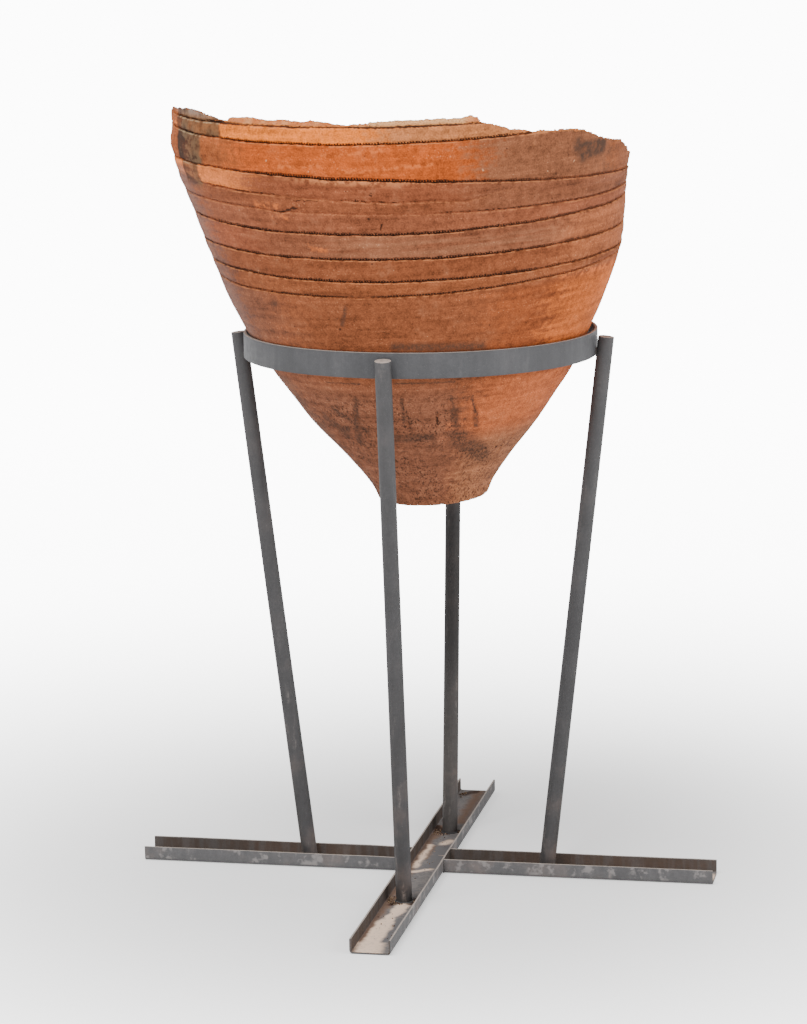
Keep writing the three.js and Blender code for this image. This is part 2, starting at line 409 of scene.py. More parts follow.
def edge_at(degrees):
    around = np.where(degrees < PARTED[0], degrees + FULL_TURN, degrees)
    parted = (around >= PARTED[0]) & (around <= PARTED[1])
    crumbs = 0.7 * wobble(degrees, 22, 60) + 0.5 * wobble(degrees, 60, 61)
    in_gap = near(around, sum(RIDGE_GAP) / 2, RIDGE_GAP[1] - RIDGE_GAP[0])
    ridge = RIDGE_HEIGHT * (1 + RIDGE_UNEVEN * ragged(degrees)) * (1 - in_gap)
    for middle, reach, height in HUMPS:
        ridge = ridge + height * near(around, middle, reach)
    loose = curve_at(EDGE, around) + EDGE_RAGGED * ragged(degrees) + CRUMBLE * crumbs
    outer = np.where(parted, level_at(len(GROOVES) - 1, degrees), loose)
    middle, reach, fall = INWARD_FALL
    slope = EDGE_RAGGED * ragged(2 * degrees) - fall * near(around, middle, reach)
    return outer, np.where(parted, ridge, slope), parted


edge, edge_rise, parted = edge_at(columns)
print("edge from", round(float(edge.min())), "to", round(float(edge.max())), "mm")

# %% [markdown]
# ## Relief of the outer face
#
# The surface stands out or in from the plain outline by a few millimetres. The section of
# a groove is a short table of offsets and depths, so the mesh can have a row of points at
# each of them and the groove stays crisp. Pits are the holes of burnt-out straw and popped
# grit; the large ones that show are listed, and the small ones come later by the thousand.

# %% Groove section, pits and tears
SECTION = [
    (-4.6, 0), (-3.6, -0.12), (-2.6, 0.12), (-1.5, 0.72), (-0.5, 1), (0.9, 1),
    (1.5, 0.4), (2.2, -0.1), (4.6, 0),
]

# Broad unevenness of hand work, outside and inside: amount, size and seed
UNEVEN = (1.3, 92.5, 3.5)
UNEVEN_INSIDE = (1.2, 45, 11.5)

# Angle, height, radius and depth of the pits that show
PITS = [
    (273.9, 509, 3, 4), (270.9, 523, 2.5, 3), (317.9, 533, 2.5, 4), (283.1, 543, 2, 3),
    (303.8, 495, 2, 3), (325.3, 456, 2.5, 3), (266.5, 570, 3, 3), (271, 566, 3.5, 3),
    (274.5, 560, 4, 2.5), (278.4, 553, 3, 3), (268, 579, 2.5, 2.5), (258.8, 348, 2.5, 3),
    (277.2, 350, 2, 2), (284.6, 181, 4, 5), (271.3, 166, 5, 3), (249, 176, 5, 4),
    (244, 171, 4, 3), (253, 163, 4, 4), (306, 214, 3, 3), (301, 186, 3, 3),
]

# Angle, height, half width in degrees, half height and depth of flaked and torn places
FLAKES = [
    (250, 553, 5, 5, 1.5), (246, 547, 3, 4, 1.2), (254, 529, 3.5, 3, 1.4),
    (268, 577, 6, 8, 1.0), (276, 571, 7, 9, 0.9), (285, 552, 7, 5, 0.7),
    (305, 652, 4, 5, 1.6), (334, 618, 4, 6, 2.0), (342, 605, 3, 5, 1.5),
]

# The burst of bright clay that stands out at the left: angle, height, half sizes, height
BURST = (203, 638, 6, 30, 3.2)


def dent(degrees, heights, middle, level, reach, half, soft=0.4):
    # 1 in the middle of an oval on the skin and 0 outside it
    away = np.hypot(apart(degrees, middle) / reach, (heights - level) / half)
    return unit((1 - away) / soft)


def relief_at(degrees, heights, ring_levels, ring_strengths):
    relief = np.zeros_like(heights)
    offsets, shares = np.array(SECTION).T
    for k, (level, strength) in enumerate(zip(ring_levels, ring_strengths)):
        share = np.interp(heights - level, offsets, shares, left=0, right=0)
        relief -= GROOVE_DEPTH * strength * share
    for low, high in zip(ring_levels[:-1], ring_levels[1:]):
        t = unit((heights - low) / (high - low))
        relief += BAND_SWELL * np.sin(np.pi * t)
    for middle, level, radius, depth in PITS:
        reach = np.degrees(radius / curve_at(OUTLINE, level))
        relief -= depth * dent(degrees, heights, middle, level, reach, radius, 0.7)
    for middle, level, reach, half, depth in FLAKES:
        relief -= depth * dent(degrees, heights, middle, level, reach, half)
    middle, level, reach, half, proud = BURST
    relief += proud * dent(degrees, heights, middle, level, reach, half, 0.6)
    return relief


# %% A point of the jar in its own frame
def jar_point(degrees, height, radius):
    angle = np.radians(degrees)
    return np.stack([
        curve_at(DRIFT, height) + radius * np.cos(angle),
        radius * np.sin(angle),
        height + 0 * radius,
    ], axis=-1)


def wall_radius(height, depth):
    spread = curve_at(OUTLINE, height + WALL / 2) - curve_at(OUTLINE, height - WALL / 2)
    return curve_at(OUTLINE, height) - depth * WALL * np.hypot(1, spread / WALL)


def coarse(points, size, seed):
    # Noise at each point, about -1 to 1, with bumps of the given size in millimetres
    flat = points.reshape(-1, 3) / size + seed
    grain = [noise.noise(tuple(p), noise_basis="PERLIN_NEW") for p in flat]
    return 2 * np.reshape(grain, points.shape[:-1])


def uneven_point(degrees, height, radius, amount, size, seed):
    swell = amount * coarse(jar_point(degrees, height, radius), size, seed)
    return jar_point(degrees, height, radius + swell)


# %% Rows of the outer face, from the foot to the break
CONE_ROWS = 62
BETWEEN_ROWS = 2
RIM_STEPS = (3.0, 1.2)
offsets = np.array(SECTION)[:, 0]
share = np.arange(CONE_ROWS)[:, None] / CONE_ROWS
rows = [FOOT_ROUND + (levels[0] + offsets[0] - FOOT_ROUND) * share]
for k, level in enumerate(levels):
    rows.append(level + offsets[:, None])
    if k < len(levels) - 1:
        low, high = level + offsets[-1], levels[k + 1] + offsets[0]
        share = (np.arange(BETWEEN_ROWS)[:, None] + 1) / (BETWEEN_ROWS + 1)
        rows.append(low + (high - low) * share)
rim = edge - np.array(RIM_STEPS)[:, None]
heights = np.concatenate([np.minimum(np.concatenate(rows), rim[0]), rim])
around = np.broadcast_to(columns, heights.shape)
relief = relief_at(around, heights, levels[:, None, :], strengths[:, None, :])
outer = uneven_point(around, heights, curve_at(OUTLINE, heights) + relief, *UNEVEN)
print(heights.shape[0], "rows on the outer face")

# %% Rows over the break, down the inside and under the foot
BREAK_ROWS = 10
INSIDE_ROWS = 26
GRAIN = 1.1
depths = np.linspace(0, 1, BREAK_ROWS + 1)[1:]
over = []
for depth in depths:
    climb = unit((depth - RIDGE_FOOT) / (RIDGE_CREST - RIDGE_FOOT))
    climb = np.where(parted, climb, depth)
    height = edge + edge_rise * climb
    if depth < RIDGE_FOOT:
        height = height - LEDGE_DROP * parted
    over.append(jar_point(columns, height, wall_radius(height, depth)))
over = np.array(over)
grain = GRAIN * (coarse(over, 9, 7.5) + 0.7 * coarse(over, 4, 9.5))
over[..., 2] += grain * np.where(depths < 1, 1, 0.5)[:, None]

lip = edge + edge_rise
inside_foot = FLOOR_THICKNESS + FLOOR_ROUND
share = (np.arange(INSIDE_ROWS)[:, None] + 1) / INSIDE_ROWS
inner_heights = lip + (inside_foot - lip) * share
inner = uneven_point(columns, inner_heights, wall_radius(inner_heights, 1), *UNEVEN_INSIDE)
floor_radius = float(wall_radius(inside_foot, 1)) - FLOOR_ROUND
floor_rings = [jar_point(columns, 0 * columns + FLOOR_THICKNESS + up, floor_radius + out)
               for up, out in ((7, 12), (2, 6), (0, -6), (0, -30))]
chips = unit(wobble(columns, 7, 70)) * 2.5
foot_rings = [jar_point(columns, 0 * columns + up, OUTLINE[0][1] - inward - chips * wear_and_highlight)
              for up, inward, wear_and_highlight in ((0, 50, 0), (0, 12, 0), (0, FOOT_ROUND, 1),
                                       (1.2, 1.2, 1))]
print("inside floor radius", round(floor_radius), "mm")

# %% [markdown]
# ## One closed skin
#
# The rings are stacked into one grid: under the foot, up the outside, over the break and
# down the inside. The break cuts many rows off, and a row that is cut off shares the
# point at the edge, so its faces vanish there and the skin stays closed.

# %% Seat the jar in the hoop
HOOP_TOP = 945
SEAT_HEIGHT = 288
SEAT_SHIFT = 4.6
LEAN_RIGHT = -2.4
LEAN_BACK = -2

jar_axis = Vector((math.tan(math.radians(LEAN_RIGHT)), math.tan(math.radians(LEAN_BACK)), 1))
turn = np.array(Vector((0, 0, 1)).rotation_difference(jar_axis.normalized()).to_matrix())
seat = turn @ jar_point(0.0, np.float64(SEAT_HEIGHT), np.float64(0))
foot = np.array([SEAT_SHIFT, 0, HOOP_TOP]) - seat


def seated(points):
    return (points @ turn.T + foot) * MM


def unseated(points):
    return (points / MM - foot) @ turn


print("middle of the jar's foot in mm:", foot.round(1))

# %% Build the grid and skip what the break cuts off
CUT = 1.2
grid = np.concatenate([np.array(foot_rings), outer, outer[-1:], over, inner,
                       np.array(floor_rings)])
ring_count, column_count = grid.shape[:2]
first_outer = len(foot_rings)
edge_row = first_outer + len(outer)
index = np.arange(ring_count * column_count).reshape(ring_count, column_count)
rim_row = edge_row - len(RIM_STEPS)
for i in range(first_outer, rim_row):
    gone = heights[i - first_outer] > rim[0] - CUT
    index[i, gone] = index[rim_row, gone]
edge_radius = curve_at(OUTLINE, edge) + relief_at(columns, edge, levels, strengths)
grid[edge_row] = uneven_point(columns, edge, edge_radius, *UNEVEN)
grid[edge_row, :, 2] += 0.5 * GRAIN * coarse(grid[edge_row], 5, 13.5)

points = [tuple(p) for p in seated(grid.reshape(-1, 3))]
under, floor = len(points), len(points) + 1
points += [tuple(p) for p in seated(np.array([[2.0, 0, 0], [2.0, 0, FLOOR_THICKNESS]]))]
faces = []
for j in range(column_count):
    k = (j + 1) % column_count
    faces.append((under, index[0, k], index[0, j]))
    faces.append((floor, index[-1, j], index[-1, k]))
    for i in range(ring_count - 1):
        corners = (index[i, j], index[i, k], index[i + 1, k], index[i + 1, j])
        kept = list(dict.fromkeys(int(c) for c in corners))
        if len(kept) > 2:
            faces.append(kept)
print(ring_count, "rings,", len(faces), "faces")

# %% Keep only the points that a face uses
used = sorted({corner for face in faces for corner in face})
new_number = {old: new for new, old in enumerate(used)}
faces = [[new_number[corner] for corner in face] for face in faces]
points = [points[old] for old in used]
jar_base = mesh_object("pithos_base", points, faces)

# %% [markdown]
# ## Marks that the materials and the scattered pieces read
#
# Colour follows the bands between the grooves, soil and painted shade darken the grooves,
# a painted highlight lies on their lower lips, and the broken faces are paler than the
# skin. Each point gets these as numbers: `band` counts the grooves below it,
# `shade_and_soil` is how deep it lies in a groove, which sets the soil and painted shade
# there, `lip` is 1 on the lower lip of a groove, where the highlight is painted, `fresh` is
# 1 on broken clay, `inside` is 1 on the inner face, `rough` is how pitted the skin is, and
# `sway` is how far the jar's middle has moved there.

# %% Work the marks out from a point's place
# Half height in millimetres of the soil and painted shade in most grooves and in those that
# hold more of it
SHADE_SOIL_USUAL = 1.5
SHADE_SOIL_HALF = {1: 1.7, 2: 1.8, 3: 1.8, 6: 1.8}

# How far under its groove the lower lip with its painted highlight lies, and its half
# height. One lip is torn too: its groove, angle and reach.
LIP_BELOW, LIP_HALF = 2.8, 1.4
TORN_BELOW, TORN_HALF = 4.2, 2.8
TORN_LIP = (6, 268, 24)

# Depth at which the skin ends, at which the inner face begins and at which the ledge lies,
# each with the depth over which it fades
SKIN_DEPTH, SKIN_FADE = 6, 3
INSIDE_DEPTH, INSIDE_FADE = 12, 8
LEDGE_DEPTH, LEDGE_FADE = 5, 4

# Height of the last band, top of the rough part of the cone with the height over which it
# fades, and the rough place on the belly: angle, reach, lowest and highest point
LAST_BAND = 20
CONE_TOP, CONE_FADE = 300, 40
ROUGH_PLACE = (272, 20, 540, 590)


def write_mark(mesh, name, values):
    if name in mesh.attributes:
        mesh.attributes.remove(mesh.attributes[name])
    mesh.attributes.new(name, "FLOAT", "POINT")
    mesh.attributes[name].data.foreach_set("value", np.asarray(values, np.float32))


def mark_jar_mesh(mesh):
    spots = np.empty(len(mesh.vertices) * 3)
    mesh.vertices.foreach_get("co", spots)
    spots = unseated(spots.reshape(-1, 3))
    height = spots[:, 2]
    sway = curve_at(DRIFT, height)
    degrees = np.degrees(np.arctan2(spots[:, 1], spots[:, 0] - sway)) % FULL_TURN
    radius = np.hypot(spots[:, 0] - sway, spots[:, 1])
    order = np.argsort(columns)

    def beside(values):
        return np.interp(degrees, columns[order], values[order], period=FULL_TURN)

    ring = np.array([beside(level) for level in levels])
    band = unit(height / ring[0])
    for low, high in zip(ring[:-1], ring[1:]):
        band = band + unit((height - low) / (high - low))
    band = band + unit((height - ring[-1]) / LAST_BAND)
    below_skin = curve_at(OUTLINE, height) - radius
    top = beside(edge)
    skin = unit(1 - (below_skin - SKIN_DEPTH) / SKIN_FADE)
    shade_and_soil = np.zeros_like(height)
    lip = np.zeros_like(height)
    for k, level in enumerate(ring):
        strong = beside(strengths[k])
        half = SHADE_SOIL_HALF.get(k, SHADE_SOIL_USUAL) * np.clip(strong, 0.5, 1.4)
        # Soil and painted shade in the groove
        soil_and_shade = unit(1.7 - np.abs(height - level - 0.2) / half)
        strong = unit(strong) * skin
        shade_and_soil = np.maximum(shade_and_soil, soil_and_shade * strong)
        # Painted highlight on the lower lip, where it faces the light from above
        wear_and_highlight = unit(1 - np.abs(height - level + LIP_BELOW) / LIP_HALF)
        lip = np.maximum(lip, wear_and_highlight * strong)
    groove, middle, reach = TORN_LIP
    torn = unit(1 - np.abs(height - ring[groove] + TORN_BELOW) / TORN_HALF)
    lip = np.maximum(lip, 1.3 * torn * near(degrees, middle, reach) * skin)
    # The ledge in front of the ridge gets soil and painted shade too
    ledge = (degrees > PARTED[0] - 1) & (degrees < PARTED[1] + 1) & (height > ring[-1] - 4)
    ledge = ledge * unit(1.6 - np.abs(below_skin - LEDGE_DEPTH) / LEDGE_FADE)
    shade_and_soil = np.maximum(shade_and_soil, ledge)
    fresh = unit((height - top + 0.8) / 1.2) * (1 - ledge)
    middle, reach, low, high = ROUGH_PLACE
    rough = unit((CONE_TOP - height) / CONE_FADE)
    rough = rough + 0.35 * near(degrees, middle, reach) * ((height > low) & (height < high))
    marks = {"sway": sway * MM, "band": band, "shade_and_soil": shade_and_soil, "lip": lip, "fresh": fresh,
             "rough": unit(rough) * skin,
             "inside": unit((below_skin - INSIDE_DEPTH) / INSIDE_FADE) * (1 - fresh)}
    for name, values in marks.items():
        write_mark(mesh, name, values)


mark_jar_mesh(jar_base.data)
print("marked", len(jar_base.data.vertices), "points")

# %% [markdown]
# ## Geometry Nodes, and how a tree becomes a plain mesh
#
# Whatever repeats along a line or over a surface is grown by a node tree with named sizes.
# The helper below makes the tree's sockets, sets them on the modifier by their
# identifiers, lets Blender evaluate the object once, and keeps only the plain mesh.

# %% Helper: start a Geometry Nodes tree and grow a mesh with it
SOCKETS = {float: "NodeSocketFloat", int: "NodeSocketInt", bpy.types.Object: "NodeSocketObject",
           bpy.types.Material: "NodeSocketMaterial", tuple: "NodeSocketVector"}


def start_tree(name, sizes):
    tree = bpy.data.node_groups.new(name, "GeometryNodeTree")
    tree.is_modifier = True
    tree.interface.new_socket("Geometry", in_out="INPUT", socket_type="NodeSocketGeometry")
    for label, kind in sizes.items():
        tree.interface.new_socket(label, in_out="INPUT", socket_type=SOCKETS[kind])
    tree.interface.new_socket("Geometry", in_out="OUTPUT", socket_type="NodeSocketGeometry")
    nodes = Nodes(tree)
    return nodes, nodes.add("NodeGroupInput").outputs


def end_tree(nodes, geometry, material):
    real = nodes.add("GeometryNodeRealizeInstances", {"Geometry": geometry}).outputs[0]
    painted = nodes.add("GeometryNodeSetMaterial", {"Geometry": real, "Material": material})
    nodes.add("NodeGroupOutput", {"Geometry": painted.outputs[0]})


def grow(name, source, nodes, sizes):
    modifier = source.modifiers.new(name, "NODES")
    modifier.node_group = nodes.tree
    for item in nodes.tree.interface.items_tree:
        if item.in_out == "INPUT" and item.name in sizes:
            modifier[item.identifier] = sizes[item.name]
    source.update_tag()
    bpy.context.view_layer.update()
    ready = source.evaluated_get(bpy.context.evaluated_depsgraph_get())
    mesh = bpy.data.meshes.new_from_object(ready)
    mesh.name = name
    source.modifiers.remove(modifier)
    made = bpy.data.objects.new(name, mesh)
    bpy.context.scene.collection.objects.link(made)
    bpy.data.objects.remove(source)
    return made


# %% [markdown]
# ## Fired clay
#
# Terracotta is never one colour. Iron in the clay burns orange where air reached it and
# brown where it did not, salts leave a pale haze, and soil fills the hollows. The material
# starts from a colour for each band between grooves, breaks it up with streaks left by the
# wiping hand, then lays soil and painted shade in the grooves, painted highlights on their
# lower lips, stains and broken clay over it, with painted sheen at the left edge and
# painted shade at the left tip and along the hoop. It reads Object coordinates turned into
# the jar's own frame, so a stain keeps its place whatever the mesh is.


# %% Colours of the clay
def colour(red, green, blue):
    # A colour as the eye reads it, from 0 to 255, as the linear numbers that Blender uses
    def linear(value):
        value /= 255
        return value / 12.92 if value <= 0.04045 else ((value + 0.055) / 1.055) ** 2.4
    return (linear(red), linear(green), linear(blue), 1.0)


# Colour of each band, from the foot to the top edge
BAND_COLOURS = [colour(*tone) for tone in (
    (135, 76, 47), (134, 75, 45), (130, 72, 44), (131, 77, 52), (135, 77, 51), (132, 74, 47),
    (131, 72, 46), (172, 80, 31), (224, 118, 42), (220, 135, 70))]
PALE_SALT = colour(208, 156, 119)
# Dark of soil and painted shade, for the grooves, and also for cracks and holes
SOIL_AND_SHADE = colour(54, 30, 20)
PIT_SOIL = colour(64, 41, 30)
# Painted highlight on the lower lips of the grooves
LIP_HIGHLIGHT = colour(214, 134, 84)
BROKEN_CLAY = colour(214, 122, 66)
BROKEN_PALE = colour(228, 150, 92)
BROKEN_GREY = colour(233, 174, 117)
STAIN_BROWN = colour(60, 36, 22)
STAIN_GREY = colour(104, 78, 54)
SMUDGE = colour(70, 52, 42)
# Darker clay at the left tip, on the break and on the skin: partly its own colour, and painted
# shade against the strong light from above
BROKEN_TIP_SHADED = colour(172, 88, 46)
TIP_CLAY_SHADED = colour(150, 82, 46)
INSIDE_CLAY = colour(136, 84, 58)

# Where the jar is another colour than its band, or carries painted sheen: angles from and
# to and their softness, bands from and to and their softness, strength and colour
TINTS_AND_SHEEN = [
    (150, 222, 9, -1, 0.6, 0.04, 0.9, (123, 86, 69)),
    (222, 298, 12, -1, 0.6, 0.09, 1.0, (136, 85, 61)),
    (298, 420, 12, 0.32, 0.6, 0.09, 1.0, (178, 95, 55)),
    (298, 420, 9, -1, 0.32, 0.06, 0.8, (162, 106, 74)),
    (150, 234, 12, 0.6, 1.0, 0.03, 0.9, (125, 77, 55)),
    (302, 420, 10, 0.6, 0.98, 0.03, 1.0, (142, 74, 40)),
    (323, 420, 7, 0.6, 0.96, 0.03, 1.0, (184, 95, 43)),
    (150, 236, 10, 3, 4, 0.04, 0.8, (147, 79, 50)),
    (325, 420, 10, 2, 4, 0.04, 0.7, (160, 92, 56)),
    (296, 420, 8, 5, 7, 0.04, 0.8, (125, 76, 52)),
    (150, 238, 8, 6, 7, 0.04, 0.9, (222, 122, 60)),
    (150, 236, 8, 7, 8, 0.04, 0.9, (153, 83, 44)),
    (298, 420, 7, 7, 8, 0.04, 1.0, (130, 80, 54)),
    (343, 420, 4, 7, 8, 0.04, 0.8, (134, 76, 45)),
    (274, 420, 7, 8, 9, 0.04, 0.9, (168, 106, 65)),
    # Painted sheen: the dusty skin paler where it turns away at the left
    (150, 215, 7, 0.7, 6.6, 0.2, 0.6, (131, 101, 92)),
    (150, 208, 2, 7, 11, 0.04, 0.9, (160, 84, 44)),
]

# The stain at the top left: angles from and to, bands from and to, their softness, strength
STAIN_FIELDS = [(207.4, 231.5, 8, 11, 0.02, 1.0), (208.4, 223.2, 7, 8, 0.02, 1.0),
                (210, 220.5, 5.7, 7.4, 0.4, 0.85)]


def dots(*places):
    # Marks whose two ends are in one place: angle, height, half width and softness
    return [(angle, height, angle, height, half, soft) for angle, height, half, soft in places]


# Marks on the skin: angle and height at one end and at the other, half width in
# millimetres, softness of its edge
CRACKS = [
    (247.5, 536, 252.9, 545, 1.5, 0.4), (252.6, 556, 259.2, 556, 0.8, 0.6),
    (274.2, 514, 273.5, 506, 1.4, 0.4), (355.6, 429, 356.6, 422, 1.6, 0.4),
    (284.5, 174, 284.8, 162, 1.8, 0.5),
] + dots(
    (270.0, 160, 1.6, 0.5), (271.1, 524, 2.0, 0.4), (272.7, 562, 1.8, 0.5),
    (268.8, 554, 1.7, 0.5), (266.8, 570, 1.5, 0.5), (275.1, 550, 2.0, 0.5),
    (320.0, 529, 1.8, 0.3), (305.0, 495, 1.5, 0.4), (325.6, 453, 2.0, 0.5),
    (322.7, 101, 2.4, 0.5), (256.2, 339, 2.4, 0.6))
DRIPS_AND_HOOP_SHADE = [
    (290.0, 212, 291.6, 185, 2.6, 0.7), (291.6, 184, 293.0, 156, 6.5, 0.6),
    (298.2, 210, 300.8, 180, 2.4, 0.7), (301.0, 180, 303.0, 152, 4.8, 0.6),
    (252.4, 211, 247.0, 168, 5.0, 0.8), (247.0, 168, 241.4, 127, 7.0, 0.9),
    (264.2, 137, 281.3, 137, 7.5, 0.7), (238.0, 190, 250.0, 150, 5.0, 1.0),
    (296.0, 130, 312.0, 96, 20.0, 0.6), (259.6, 378, 257.2, 348, 3.0, 0.9),
    # The first mark below is painted shade along the hoop's top edge, with dark smears in it
    (272.3, 308, 300.0, 298, 7.0, 0.8), (271.1, 213, 270.2, 168, 2.6, 0.9),
    (242.9, 242, 256.9, 241, 1.6, 0.9), (269.7, 242, 291.1, 239, 1.6, 0.9),
    (228.0, 170, 236.0, 140, 9.0, 0.8),
] + dots(
    (238.5, 151, 7.0, 0.6), (222.5, 157, 6.0, 0.6), (235.0, 381, 8.0, 0.9))
ORANGE_MARKS = [
    (323.8, 399, 357.3, 392, 5.0, 0.8), (241.0, 549, 247.0, 545, 5.0, 0.9),
    (245.0, 530, 249.0, 528, 4.0, 0.9), (253.5, 480, 257.0, 474, 6.0, 0.9),
    (262.0, 628, 276.0, 632, 3.0, 0.9), (250.0, 611, 262.0, 613, 3.0, 0.9),
    (266.0, 600, 288.0, 606, 3.0, 0.9),
]
PALE_MARKS = dots(
    (247.0, 621, 1.3, 0.6), (326.8, 585, 1.4, 0.5), (300.3, 590, 1.2, 0.5),
    (318.3, 574, 1.2, 0.5), (258.0, 603, 1.1, 0.5))
SMUDGE_MARKS = [
    (328.0, 608, 330.0, 592, 13, 0.7), (331.0, 592, 338.0, 597, 10, 0.6),
    (330.0, 606, 338.5, 604, 9, 0.6),
]


# %% Places on the jar for the material
def jar_frame(nodes):
    moved = nodes.vector("SUBTRACT", nodes.place(), tuple(foot * MM))
    axes = [nodes.measure("DOT_PRODUCT", moved, tuple(turn[:, k])) for k in range(3)]
    return nodes.combine(*axes), axes


def window(nodes, value, low, high, soft):
    return nodes.times(nodes.step(value, low - soft, low + soft),
                       nodes.step(value, high - soft, high + soft, 1.0, 0.0))


def sector(nodes, angle, start, end, soft):
    # A window round the jar, in degrees as the tables give them
    return window(nodes, angle, math.radians(start - FRONT), math.radians(end - FRONT), soft)


def unrolled(degrees, level):
    # A place on the jar's skin as a flat map sees it, in metres
    round_jar = math.radians(degrees - FRONT) * float(curve_at(OUTLINE, level))
    return Vector((round_jar, level, 0)) * MM


def stroke(nodes, spot, first, last, half, soft):
    # 1 on a straight brush stroke from the first place to the last, and 0 beside it
    away = nodes.vector("SUBTRACT", spot, tuple(first))
    way = last - first
    if way.length > 0:
        share = nodes.math("MULTIPLY", nodes.measure("DOT_PRODUCT", away, tuple(way)),
                           1 / way.length_squared, clamp=True)
        distance = nodes.measure("DISTANCE", away, nodes.scaled(tuple(way), share))
    else:
        distance = nodes.measure("LENGTH", away)
    return nodes.step(distance, half * (1 - soft), half * (1 + soft), 1.0, 0.0)


def painted(nodes, spot, marks, place_of=unrolled):
    # 1 on each of the marks and 0 elsewhere
    return nodes.most(*[
        stroke(nodes, spot, place_of(*mark[:2]), place_of(*mark[2:4]), mark[4] * MM, mark[5])
        for mark in marks])


# %% The clay's material
def make_clay(name):
    material, nodes = new_material(name)
    step, mix, times, plus, minus = nodes.step, nodes.mix, nodes.times, nodes.plus, nodes.minus

    def mark(label):
        return nodes.add("ShaderNodeAttribute", attribute_name=label).outputs["Fac"]

    def turned(angle, start, end, low=0.0, high=1.0):
        # low where the angle is at start, high where it is at end, both from the front
        return step(angle, math.radians(start), math.radians(end), low, high)

    local, (x, y, height) = jar_frame(nodes)
    x = minus(x, mark("sway"))
    angle = nodes.math("ARCTAN2", x, times(y, -1.0))
    radius = nodes.measure("LENGTH", nodes.combine(x, y, 0.0))
    band, fresh, rough = mark("band"), mark("fresh"), mark("rough")

    wide = nodes.noise(local, 7.0, 4.0, 0.55)
    cloud = nodes.noise(local, 24.0, 3.0, 0.55)
    fine = nodes.noise(local, 90.0, 4.0, 0.6)
    grit = nodes.noise(local, 420.0, 3.0, 0.6)
    streak = nodes.stretched(local, (6.0, 6.0, 95.0))
    dash = nodes.stretched(local, (330.0, 330.0, 110.0), 2.0)
    shake = minus(fine, 0.5)
    warp = nodes.vector("MULTIPLY", nodes.shift(local, 160.0, 0.007), (1.0, 1.0, 0.0))
    spot = nodes.vector("ADD", nodes.combine(times(angle, radius), height, 0.0), warp)

    # Bands, and the tints and the painted sheen that depart from them. Nothing is known of
    # the back, so they fade out slowly towards it.
    bands = len(BAND_COLOURS)
    ramp = nodes.add("ShaderNodeValToRGB", {"Fac": nodes.math("DIVIDE", band, float(bands))})
    points = ramp.color_ramp.elements
    while len(points) < 2 * bands - 1:
        points.new(0.5)
    for k, tone in enumerate(BAND_COLOURS):
        if k > 0:
            points[2 * k - 1].position, points[2 * k - 1].color = (k + 0.03) / bands, tone
        if k < bands - 1:
            points[2 * k].position, points[2 * k].color = (k + 0.97) / bands, tone
    base = ramp.outputs["Color"]
    finger = times(minus(streak, 0.5), 0.5)
    loose_angle = plus(angle, plus(times(shake, 0.4), finger))
    known = times(turned(loose_angle, -130, -88), turned(loose_angle, 155, 105))
    for start, end, soft, low, high, blur, strength, tone in TINTS_AND_SHEEN:
        across = sector(nodes, loose_angle, start, end, math.radians(soft))
        share = times(across, window(nodes, band, low, high, blur), strength, known)
        base = mix(share, base, colour(*tone))

    # Cloudy burning, wiping streaks, grain, salt and specks
    shade = 1.0
    for pattern, weight in ((wide, 0.4), (cloud, 0.5), (streak, 1.4), (fine, 1.2), (grit, 1.7)):
        shade = plus(times(minus(pattern, 0.5), weight), shade)
    base = nodes.scaled(base, shade)
    salt = times(step(cloud, 0.5, 0.72), step(fine, 0.42, 0.62), 0.22)
    base = mix(salt, base, colour(152, 108, 80))
    haze = times(window(nodes, band, 3.05, 3.95, 0.1), step(streak, 0.4, 0.6),
                 window(nodes, angle, -0.2, 0.9, 0.2), 0.25)
    base = mix(haze, base, colour(150, 108, 80))
    speck = minus(step(fine, 0.45, 0.7, 0.0, 0.1), nodes.cells(local, 100.0))
    speck = times(step(speck, -0.03, 0.02), step(cloud, 0.45, 0.6))
    base = mix(times(speck, 0.55), base, PALE_SALT)
    chalk = times(step(grit, 0.6, 0.72), step(streak, 0.48, 0.62), 0.5)
    base = mix(chalk, base, PALE_SALT)
    speck = times(step(nodes.cells(local, 62.0), 0.12, 0.06), step(cloud, 0.52, 0.62))
    base = mix(times(speck, 0.8), base, PIT_SOIL)

    # Marks that show: torn clay, pale grit, drips, and painted shade along the hoop's top edge
    torn = times(painted(nodes, spot, ORANGE_MARKS), step(fine, 0.44, 0.6), 0.75)
    base = mix(torn, base, colour(214, 112, 56))
    base = mix(times(painted(nodes, spot, PALE_MARKS), 0.7), base, PALE_SALT)
    drips_and_hoop_shade = times(painted(nodes, spot, DRIPS_AND_HOOP_SHADE), step(dash, 0.36, 0.56, 0.55, 0.9),
                  step(fine, 0.36, 0.54, 0.5, 1.0))
    base = mix(drips_and_hoop_shade, base, colour(80, 56, 44))

    # Scars and pits low on the cone, fewer at the right, then cracks and holes. The angle
    # jumps by a full turn at the back, so the two sides have to be alike again there.
    scar = nodes.stretched(local, (95.0, 95.0, 48.0), 3.0)
    behind = turned(angle, 125, 175)
    calm = nodes.most(turned(angle, 20, 40, 1.0, 0.15), step(height, 0.13, 0.1), behind)
    worn_low = times(rough, step(height, 0.225, 0.2), calm)
    scars = times(step(scar, 0.54, 0.66), worn_low)
    base = mix(times(scars, 0.45), base, colour(90, 56, 40))
    pitting = times(step(dash, 0.53, 0.64), step(cloud, 0.36, 0.54), worn_low)
    base = mix(times(pitting, 0.85), base, PIT_SOIL)
    base = mix(times(painted(nodes, spot, CRACKS), 0.9), base, SOIL_AND_SHADE)

